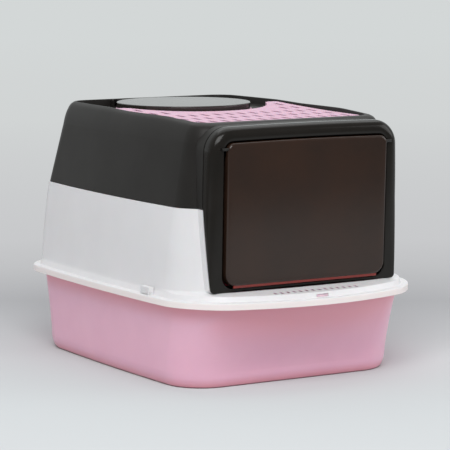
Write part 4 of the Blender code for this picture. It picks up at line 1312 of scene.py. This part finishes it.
@dataclass
class SwingDoor:
    """The smoked door: a thin plate with its edge turned back, and under it a red strip, painted in the red
    of the shaded pink tray seen through the gap below the door.
    """

    doorway: DoorwayPlan
    side_gap: float = 0.003
    top_gap: float = 0.0015
    bottom_gap: float = 0.0042
    wall: float = 0.0025
    turned_back: float = 0.008
    edge_round: float = 0.0042
    edge_start: float = 0.004284
    edge_steps: int = 8
    top_radius: float = 0.011
    bottom_radius: float = 0.018
    face_inset: float = 0.0099
    proud: float = 0.006
    bulge: float = 0.0003
    bore_radius: float = 0.0025
    side_depth: float = 0.016
    side_start: float = 0.020
    side_end: float = 0.045
    bead_drop: float = 0.0029
    bead_inset: float = 0.0016
    bead_depth: float = 0.0042
    bead_round: float = 0.0009
    bead_end: float = 0.0126

    @property
    def half_width(self) -> float:
        """Half of the door's width."""
        return self.doorway.half_width - self.doorway.opening_inset - self.side_gap

    @property
    def low(self) -> float:
        """Height of the door's lower edge."""
        return self.doorway.bottom + self.doorway.sill + self.bottom_gap

    def loop(self, inset: float, depth: float) -> list[Point]:
        """Lists one ring of the door.

        Args:
            inset: How far it is drawn in from the door's edge.
            depth: How far it lies behind the door's face.

        Returns:
            Points in metres.
        """
        way = self.doorway
        radii = (self.bottom_radius - inset, self.top_radius - inset)
        high = way.top - way.opening_inset - self.top_gap - inset
        points = way.upright(self.half_width - inset, self.low + inset, high, radii)
        return [(x, way.front_of(z) - self.proud + depth, z) for x, z in points]

    def back_loop(self, inset: float) -> list[Point]:
        """Lists the ring of the turned edge's end, which lies deeper below the hinge.

        Args:
            inset: How far it is drawn in from the door's edge.

        Returns:
            Points in metres.
        """
        top = self.doorway.top - self.doorway.opening_inset
        made = []
        for x, y, z in self.loop(inset, self.turned_back):
            share = min(max(top - z - self.side_start, 0.0) / (self.side_end - self.side_start), 1.0)
            made.append((x, y + (self.side_depth - self.turned_back) * share, z))
        return made

    def build_bead(self) -> None:
        """Adds the red strip under the door's lower edge, a painted stand-in for the shaded tray seen
        through the gap.
        """
        half = self.half_width - self.bead_end
        face = self.doorway.front_of(self.low) - self.proud
        high = (half, face + self.bead_depth, self.low + self.wall)
        gap_strip = Mould().box((-half, face + self.bead_inset, self.low - self.bead_drop), high)
        piece = gap_strip.piece("swing_door_bead")
        soften_edges(piece, self.bead_round, segments=4)
        dress(piece, PAINTED_GAP_SHADE, "door")

    def build(self) -> None:
        """Builds and dresses the door."""
        edge, turn = self.edge_round, self.edge_round - self.wall
        outer = [self.back_loop(0.0), self.loop(0.0, self.edge_start)]
        inner = [self.back_loop(self.wall), self.loop(self.wall, self.edge_start)]
        for cosine, sine in quarter(0.0, self.edge_steps)[1:]:
            outer.append(self.loop(edge * (1 - cosine), edge * (1 - sine)))
            inner.append(self.loop(self.wall + turn * (1 - cosine), edge - turn * sine))
        outer.append(self.loop(self.face_inset, -self.bulge))
        inner.append(self.loop(self.face_inset, self.wall - self.bulge))
        door = Mould().skin(inner[::-1] + outer).close().piece("swing_door_plate")
        bore = Mould().rod(self.bore_radius, door_axis(), 2 * self.doorway.half_width, ALONG_X)
        bore.into(door, Join.CUT)
        dress(door, SMOKED_POLYSTYRENE, "door", "swing_door")
        self.build_bead()


@dataclass
class RoofHole:
    """The pink ring on the collar of the roof hole, and the smoked lid over it."""

    plan: BodyPlan
    ring_wall: float = 0.0022
    ring_foot_radius: float = 0.104
    ring_foot_height: float = 0.0019
    ring_skirt: float = 0.007
    ring_round: float = 0.0006
    lid_radius: float = 0.102
    lid_wall: float = 0.0025
    lid_skirt: float = 0.0072
    lid_edge: float = 0.0012
    lid_edge_steps: int = 6
    lid_front_drop: float = 0.0015
    arm_thickness: float = 0.0023
    arm_reach: float = 0.005
    knuckle_radius: float = 0.0037
    knuckle_width: float = 0.0132
    knuckle_round: float = 0.0003
    steps: int = 160

    @property
    def ring_top(self) -> float:
        """Height of the ring's top."""
        return self.plan.floor + self.plan.collar_height + self.plan.gap + self.ring_wall

    def turned(self, name: str, profile: Sequence[Pair], closed: bool) -> Piece:
        """Spins a profile of radius and height round the hole's axis.

        Args:
            name: The object's name.
            profile: Pairs of radius and height.
            closed: Whether the profile is a closed ring, or runs from axis to axis.

        Returns:
            A closed mesh.
        """
        mould = Mould()
        verts = [mould.bm.verts.new((radius, self.plan.hole_y, height)) for radius, height in profile]
        pairs = [*zip(verts, verts[1:]), *([(verts[-1], verts[0])] if closed else [])]
        edges = [mould.bm.edges.new(pair) for pair in pairs]
        turn = {"cent": (0.0, self.plan.hole_y, 0.0), "axis": (0.0, 0.0, 1.0), "angle": 2 * math.pi}
        bmesh.ops.spin(mould.bm, geom=verts + edges, steps=self.steps, use_merge=True, **turn)
        return mould.close().piece(name)

    def build_ring(self) -> None:
        """Builds and dresses the ring."""
        floor = self.plan.floor + self.plan.gap
        bore = self.plan.hole_radius - self.plan.gap
        over = self.plan.hole_radius + self.plan.hood_wall + self.plan.gap
        under = self.ring_top - self.ring_wall
        low, foot, rim = under - self.ring_skirt, floor + self.ring_foot_height, self.ring_foot_radius
        inside = [(bore, low), (bore, under), (over, under), (over, floor), (rim, floor), (rim, foot)]
        over, bore = over + self.ring_wall, bore - self.ring_wall
        outside = [(over, foot), (over, self.ring_top), (bore, self.ring_top), (bore, low)]
        ring = self.turned("hole_ring_band", inside + outside, closed=True)
        soften_edges(ring, self.ring_round, segments=3)
        dress(ring, PINK_RUBBER, "upper", "hole_ring")

    def build_lid(self) -> None:
        """Builds and dresses the lid with its two hinge blocks."""
        under = self.ring_top + self.plan.gap
        top = under + self.lid_wall
        low, rim, edge = top - self.lid_skirt, self.lid_radius, self.lid_edge
        profile = [(0.0, under), (rim - self.lid_wall, under), (rim - self.lid_wall, low), (rim, low)]
        turns = quarter(0.0, self.lid_edge_steps)
        profile += [(rim - edge * (1 - cosine), top - edge * (1 - sine)) for cosine, sine in turns]
        lid = self.turned("top_lid_disc", [*profile, (0.0, top)], closed=False)
        for vert in lid.data.vertices:
            ahead = (self.plan.hole_y + rim - vert.co.y) / rim
            if vert.co.z < low + edge:
                vert.co.z -= self.lid_front_drop * min(ahead, 1.0)
        for side in Side:
            self.build_hinge(side, top)
        dress(lid, LID_POLYSTYRENE, "lid", "top_lid")

    def build_hinge(self, side: Side, top: float) -> None:
        """Adds one dark hinge block: a knuckle and the arm that holds the lid's edge.

        Args:
            side: Which of the two.
            top: Height of the lid's top.
        """
        pin = side.node("lid_pin")
        axis = sum(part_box(pin), Vector()) / 2
        gap, half, width = self.plan.gap, self.knuckle_width / 2, self.knuckle_width
        face = self.plan.hole_y + math.sqrt(self.lid_radius**2 - axis.x**2) - self.arm_reach
        corner = (axis.x + half, axis.y, axis.z + self.knuckle_radius - gap)
        arm = Mould().box((axis.x - half, face, top - self.arm_thickness), corner)
        piece = arm.piece(side.node("lid_knuckle"))
        Mould().rod(self.knuckle_radius, axis, width - gap, ALONG_X, 40).into(piece, Join.ADD)
        pin_hole(pin, gap, 2 * width, ALONG_X).into(piece, Join.CUT)
        soften_edges(piece, self.knuckle_round, angle=60.0)
        dress(piece, DULL_POLYPROPYLENE, "lid")

    def build(self) -> None:
        """Builds the ring and the lid."""
        self.build_ring()
        self.build_lid()


@dataclass
class PawMat:
    """The slotted grip mat on the roof."""

    plan: BodyPlan
    half_width: float = 0.142
    front: float = 0.167
    back: float = 0.076
    cut_radius: float = 0.127
    cut_steps: int = 64
    front_radius: float = 0.025
    front_steps: int = 12
    tip_radius: float = 0.006
    tip_steps: int = 4
    front_height: float = 0.0036
    rise: float = 0.0059
    rise_steps: int = 30
    slot_length: float = 0.024
    slot_width: float = 0.0066
    slot_round: float = 0.0012
    slot_pitch: float = 0.0205
    row_pitch: float = 0.045
    first_row: float = 0.026
    margin: float = 0.011
    edge: float = 0.0016
    overrun: float = 0.02

    def outline(self) -> list[Pair]:
        """Lists the mat's plan: round front corners, two tips and the round cut before the hole.

        Returns:
            Points of across and along.
        """
        made = []
        for side, start in ((-1, math.pi), (1, 1.5 * math.pi)):
            for cosine, sine in quarter(start, self.front_steps):
                x = side * (self.half_width - self.front_radius) + self.front_radius * cosine
                made.append((x, self.front_radius - self.front + self.front_radius * sine))
        hole_y, tip = self.plan.hole_y, self.tip_radius
        tip_x = math.sqrt(self.cut_radius**2 - (hole_y - self.back) ** 2)
        turns = quarter(0.0, self.tip_steps)
        corner = [(self.half_width - tip * (1 - c), self.back - tip * (1 - s)) for c, s in turns]
        corner.append((tip_x + tip, self.back))
        start = math.atan2(self.back - tip - hole_y, tip_x)
        end = -math.pi - start
        made += corner
        for angle in (start + (end - start) * step / self.cut_steps for step in range(self.cut_steps + 1)):
            made.append((self.cut_radius * math.cos(angle), hole_y + self.cut_radius * math.sin(angle)))
        return made + [(-x, y) for x, y in reversed(corner)]

    def within(self, point: Vector) -> bool:
        """Whether a point lies well inside the mat's edge, where only slots have walls.

        Args:
            point: The point.

        Returns:
            True if it does.
        """
        keep = self.margin / 2
        clear = math.hypot(point.x, point.y - self.plan.hole_y) > self.cut_radius + keep
        between_ends = keep - self.front < point.y < self.back - keep
        return clear and abs(point.x) < self.half_width - keep and between_ends

    def slots(self) -> Mould:
        """Makes the rows of slots that are cut through the mat.

        Returns:
            Separate boxes with round corners.
        """
        cuts = Mould()
        floor, half_x, half_y = self.plan.floor, self.slot_width / 2, self.slot_length / 2
        columns = int(self.half_width / self.slot_pitch)
        for row in range(int((self.front + self.back) / self.row_pitch)):
            y = self.first_row - self.front + row * self.row_pitch
            for x in (column * self.slot_pitch for column in range(-columns, columns + 1)):
                room = (
                    self.half_width - abs(x) - half_x,
                    math.hypot(x, y + half_y - self.plan.hole_y) - self.cut_radius,
                    self.back - y - half_y,
                )
                if min(room) > self.margin:
                    low = (x - half_x, y - half_y, floor - self.overrun)
                    cuts.box(low, (x + half_x, y + half_y, floor + self.overrun))
        upright = [e for e in cuts.bm.edges if abs(e.verts[0].co.z - e.verts[1].co.z) > self.overrun]
        return cuts.bevel(upright, self.slot_round, 3)

    def build(self) -> None:
        """Builds and dresses the mat."""
        floor = self.plan.floor + self.plan.gap
        top = floor + self.front_height
        depth = self.front + self.back
        mould = Mould().skin([[(x, y, height) for x, y in self.outline()] for height in (floor, top)])
        for step in range(1, self.rise_steps):
            plane = (0.0, depth * step / self.rise_steps - self.front, top)
            geometry = mould.bm.verts[:] + mould.bm.edges[:] + mould.bm.faces[:]
            bmesh.ops.bisect_plane(mould.bm, geom=geometry, plane_co=plane, plane_no=(0.0, 1.0, 0.0))
        for vert in mould.bm.verts:
            if vert.co.z > (floor + top) / 2:
                vert.co.z += self.rise * ((vert.co.y + self.front) / depth) ** 2
        mat = mould.close().piece("paw_mat_pad")
        soften_edges(mat, self.edge, angle=50.0, segments=3)
        self.slots().into(mat, Join.CUT)
        dress(mat, PINK_RUBBER, "mat", "paw_mat")
        # The slot walls take the darker painted shade.
        line_cuts(mat, SLOT_PAINTED_SHADE_RUBBER, self.within)


@dataclass
class SideClips:
    """The small clips on the rim, one at each side."""

    gap: float = 0.0003
    edge: float = 0.0009
    steps: int = 10

    def build(self) -> None:
        """Builds and dresses both clips from the places of their nodes and pins."""
        for side in Side:
            low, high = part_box(side.node("side_clip"))
            pin = side.node("clip_pin")
            axis = sum(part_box(pin), Vector()) / 2
            reach = axis.z - low.z
            inner, outer = (low.x, high.x) if side is Side.RIGHT else (high.x, low.x)
            turns = quarter(0.0, self.steps)
            arc = [(axis.x + side.value * reach * sine, axis.z - reach * cosine) for cosine, sine in turns]
            section = [(inner, high.z), (inner, low.z), *arc, (outer, high.z)]
            block = Mould().prism(section, lambda z, end=low.y: end, lambda z, end=high.y: end)
            clip = block.piece(side.node("side_clip") + "_latch")
            soften_edges(clip, self.edge, segments=3)
            pin_hole(pin, self.gap, 2 * (high.y - low.y), ALONG_Y).into(clip, Join.CUT)
            dress(clip, WHITE_POLYPROPYLENE, side.node("clip"), side.node("side_clip"))


@dataclass
class Pins:
    """The pivot pins, whose solids stay and get their finish: pale in the clips, dark elsewhere."""

    finishes: tuple = (("door_pin", DARK_ACETAL), ("lid_pin", DARK_ACETAL), ("clip_pin", PALE_ACETAL))

    def build(self) -> None:
        """Dresses the pins' own solids."""
        for stem, finish in self.finishes:
            for side in Side:
                node = frame["nodes"][side.node(stem)]
                node.data.materials.clear()
                node.data.materials.append(finish.build())
                LOG.info("%s: its own solid, %s", side.node(stem), finish.name)


@dataclass
class Studio:
    """A plain pale floor, soft light and the camera at the photograph's angle."""

    # Backdrop tones by depth along the line of sight; the darkest, 0.55 m behind the box, is a painted shade
    # band where the paper would curve up into a wall.
    tones: tuple = (
        (-1.0, "#DEE1E2"), (-0.35, "#DBDFE0"), (0.0, "#D8DBDC"), (0.55, "#B9BABC"),
        (1.35, "#C8C9CB"), (4.4, "#D1D4D4"), (10.0, "#D3D7D7"),
    )  # fmt: skip
    room_colour: str = "#8C8B8A"
    room_span: Pair = (-1.1, -1.7)
    behind_span: Pair = (-0.5, 0.6)
    lit_span: Pair = (0.55, 1.1)
    lit_level: float = 1.2
    sky_colour: str = "#F4F5F8"
    sky_level: float = 0.6
    floor_radius: float = 40.0
    fibre_scale: float = 400.0
    fibre_depth: float = 0.00002
    lens: float = 187.86
    sensor: float = 36.0
    camera_place: Point = (-1.8001, -2.9764, 0.6416)
    camera_pitch: float = 82.79
    camera_heading: float = -31.21
    lamp_aim: Point = (0.0, 0.0, 0.18)
    lamps: tuple = (
        ("key", (-1.5, -2.2, 2.6), 2.0, 64.0),
        ("top", (0.6, 0.8, 3.0), 3.0, 30.0),
        ("right_fill", (2.8, -1.6, 1.4), 2.0, 22.0),
    )

    def ramp(self, tree: Tree, value: Socket) -> Socket:
        """Turns the depth behind the box into the backdrop's tone, with its painted shade band.

        Args:
            tree: The floor's node tree.
            value: Metres along the line of sight, from the middle of the box.

        Returns:
            The socket that carries the colour.
        """
        first, last = self.tones[0][0], self.tones[-1][0]
        share = add_node(tree, "MapRange", {"Value": value, "From Min": first, "From Max": last})
        ramp = add_node(tree, "ValToRGB", {"Fac": share})
        stops = ramp.node.color_ramp.elements
        for _ in self.tones[2:]:
            stops.new(1.0)
        for stop, (depth, tone) in zip(stops, self.tones):
            stop.position = (depth - first) / (last - first)
            stop.color = linear(tone)
        return ramp

    def room_share(self, tree: Tree, along: Socket, across: Socket) -> Socket:
        """Finds where reflections meet the darker room before and to the left of the paper.

        Args:
            tree: The floor's node tree.
            along: Metres along the box.
            across: Metres across the line of sight.

        Returns:
            The socket that carries the share of the room's colour.
        """
        start, end = self.room_span
        ahead, beside = (
            add_node(tree, "MapRange", {"Value": value, "From Min": start, "From Max": end}, **SOFT)
            for value in (along, across)
        )
        either = add_node(tree, "Math", {0: ahead, 1: beside}, operation="MAXIMUM")
        camera = add_node(tree, "LightPath", {}, "Is Camera Ray")
        unseen = add_node(tree, "Math", {0: 1.0, 1: camera}, operation="SUBTRACT")
        return add_node(tree, "Math", {0: either, 1: unseen}, operation="MULTIPLY")

    def seen_rays(self, tree: Tree) -> Socket:
        """One for rays from the camera, from a reflection or through glass, and nought for the rest.

        Args:
            tree: The node tree that asks.

        Returns:
            The socket that carries the factor.
        """
        rays = add_node(tree, "LightPath", {}).node.outputs
        seen = rays["Is Camera Ray"]
        for name in ("Is Glossy Ray", "Is Transmission Ray"):
            seen = add_node(tree, "Math", {0: seen, 1: rays[name]}, operation="MAXIMUM")
        return seen

    def build_floor(self) -> None:
        """Lays the floor: lit paper round the box, which runs into a backdrop behind it, toned by depth with
        a painted shade band.
        """
        mould = Mould()
        bmesh.ops.create_circle(mould.bm, cap_ends=True, segments=96, radius=self.floor_radius)
        floor = mould.piece("studio_floor")
        made = bpy.data.materials.new("floor_paper_pale")
        tree = bare_tree(made)
        place = add_node(tree, "TexCoord", {}, "Object")
        turn = {"Vector": place, "Angle": math.radians(-self.camera_heading)}
        turned = add_node(tree, "VectorRotate", turn, rotation_type="Z_AXIS")
        across, depth, _ = add_node(tree, "SeparateXYZ", {"Vector": turned}).node.outputs
        along = add_node(tree, "SeparateXYZ", {"Vector": place}, "Y")
        room = self.room_share(tree, along, across)
        mix = {"Factor": room, 6: self.ramp(tree, depth), 7: linear(self.room_colour)}
        tone = add_node(tree, "Mix", mix, 2, data_type="RGBA")
        speckle = add_node(tree, "TexNoise", {"Vector": place, "Scale": self.fibre_scale, "Detail": 2.0})
        fibre = add_node(tree, "Bump", {"Height": speckle, "Distance": self.fibre_depth})
        lit = add_node(tree, "HueSaturation", {"Color": tone, "Value": 1 / self.lit_level})
        paper = add_node(tree, "BsdfDiffuse", {"Color": lit, "Roughness": 0.8, "Normal": fibre})
        backdrop = add_node(tree, "Emission", {"Color": tone, "Strength": 1.0})
        distance = add_node(tree, "VectorMath", {0: place}, "Value", operation="LENGTH")
        start, end = self.lit_span
        far = add_node(tree, "MapRange", {"Value": distance, "From Min": start, "From Max": end}, **SOFT)
        share = add_node(tree, "Math", {0: far, 1: self.seen_rays(tree)}, operation="MULTIPLY")
        shader = add_node(tree, "MixShader", {0: share, 1: paper, 2: backdrop})
        add_node(tree, "OutputMaterial", {"Surface": shader})
        floor.data.materials.append(made)

    def build_world(self) -> None:
        """Sets the even light all round, and the room that the camera and the reflections see."""
        world = bpy.data.worlds.new("studio")
        bpy.context.scene.world = world
        tree = bare_tree(world)
        place = add_node(tree, "TexCoord", {}, "Object")
        along = add_node(tree, "SeparateXYZ", {"Vector": place}, "Y")
        start, end = self.behind_span
        behind = add_node(tree, "MapRange", {"Value": along, "From Min": start, "From Max": end}, **SOFT)
        mix = {"Factor": behind, 6: linear(self.room_colour), 7: linear(self.tones[-1][1])}
        tone = add_node(tree, "Mix", mix, 2, data_type="RGBA")
        soft = add_node(tree, "Background", {"Color": linear(self.sky_colour), "Strength": self.sky_level})
        seen = add_node(tree, "Background", {"Color": tone, "Strength": 1.0})
        shader = add_node(tree, "MixShader", {0: self.seen_rays(tree), 1: soft, 2: seen})
        add_node(tree, "OutputWorld", {"Surface": shader})

    def build_lamps(self) -> None:
        """Hangs the soft lamps, each aimed at the middle of the box."""
        for name, place, size, power in self.lamps:
            lamp = bpy.data.lights.new(name, "AREA")
            lamp.shape = "SQUARE"
            lamp.size = size
            lamp.energy = power
            made = bpy.data.objects.new(name, lamp)
            made.location = place
            aim = Vector(self.lamp_aim) - Vector(place)
            made.rotation_euler = aim.to_track_quat("-Z", "Y").to_euler()
            bpy.context.scene.collection.objects.link(made)

    def build_camera(self) -> None:
        """Places the camera at the photograph's angle."""
        camera = bpy.data.cameras.new("view")
        camera.lens = self.lens
        camera.sensor_width = self.sensor
        camera.clip_end = 100.0
        made = bpy.data.objects.new("view", camera)
        made.location = self.camera_place
        turns = (self.camera_pitch, 0.0, self.camera_heading)
        made.rotation_euler = Euler([math.radians(turn) for turn in turns])
        bpy.context.scene.collection.objects.link(made)
        bpy.context.scene.camera = made

    def build(self) -> None:
        """Sets up floor, world, lamps, camera and the view transform."""
        self.build_floor()
        self.build_world()
        self.build_lamps()
        self.build_camera()
        bpy.context.scene.view_settings.view_transform = "Standard"


def main() -> None:
    """Builds every sub-assembly in order, then the studio."""
    logging.basicConfig(level=logging.INFO, format="%(message)s")
    plan = BodyPlan()
    doorway = DoorwayPlan()
    shells = (Tray(plan), LowerHood(plan, doorway), UpperHood(plan, doorway))
    fittings = (DoorFrame(doorway), SwingDoor(doorway), RoofHole(plan), PawMat(plan), SideClips(), Pins())
    for part in (*shells, *fittings, Studio()):
        part.build()


if __name__ == "__main__":
    main()
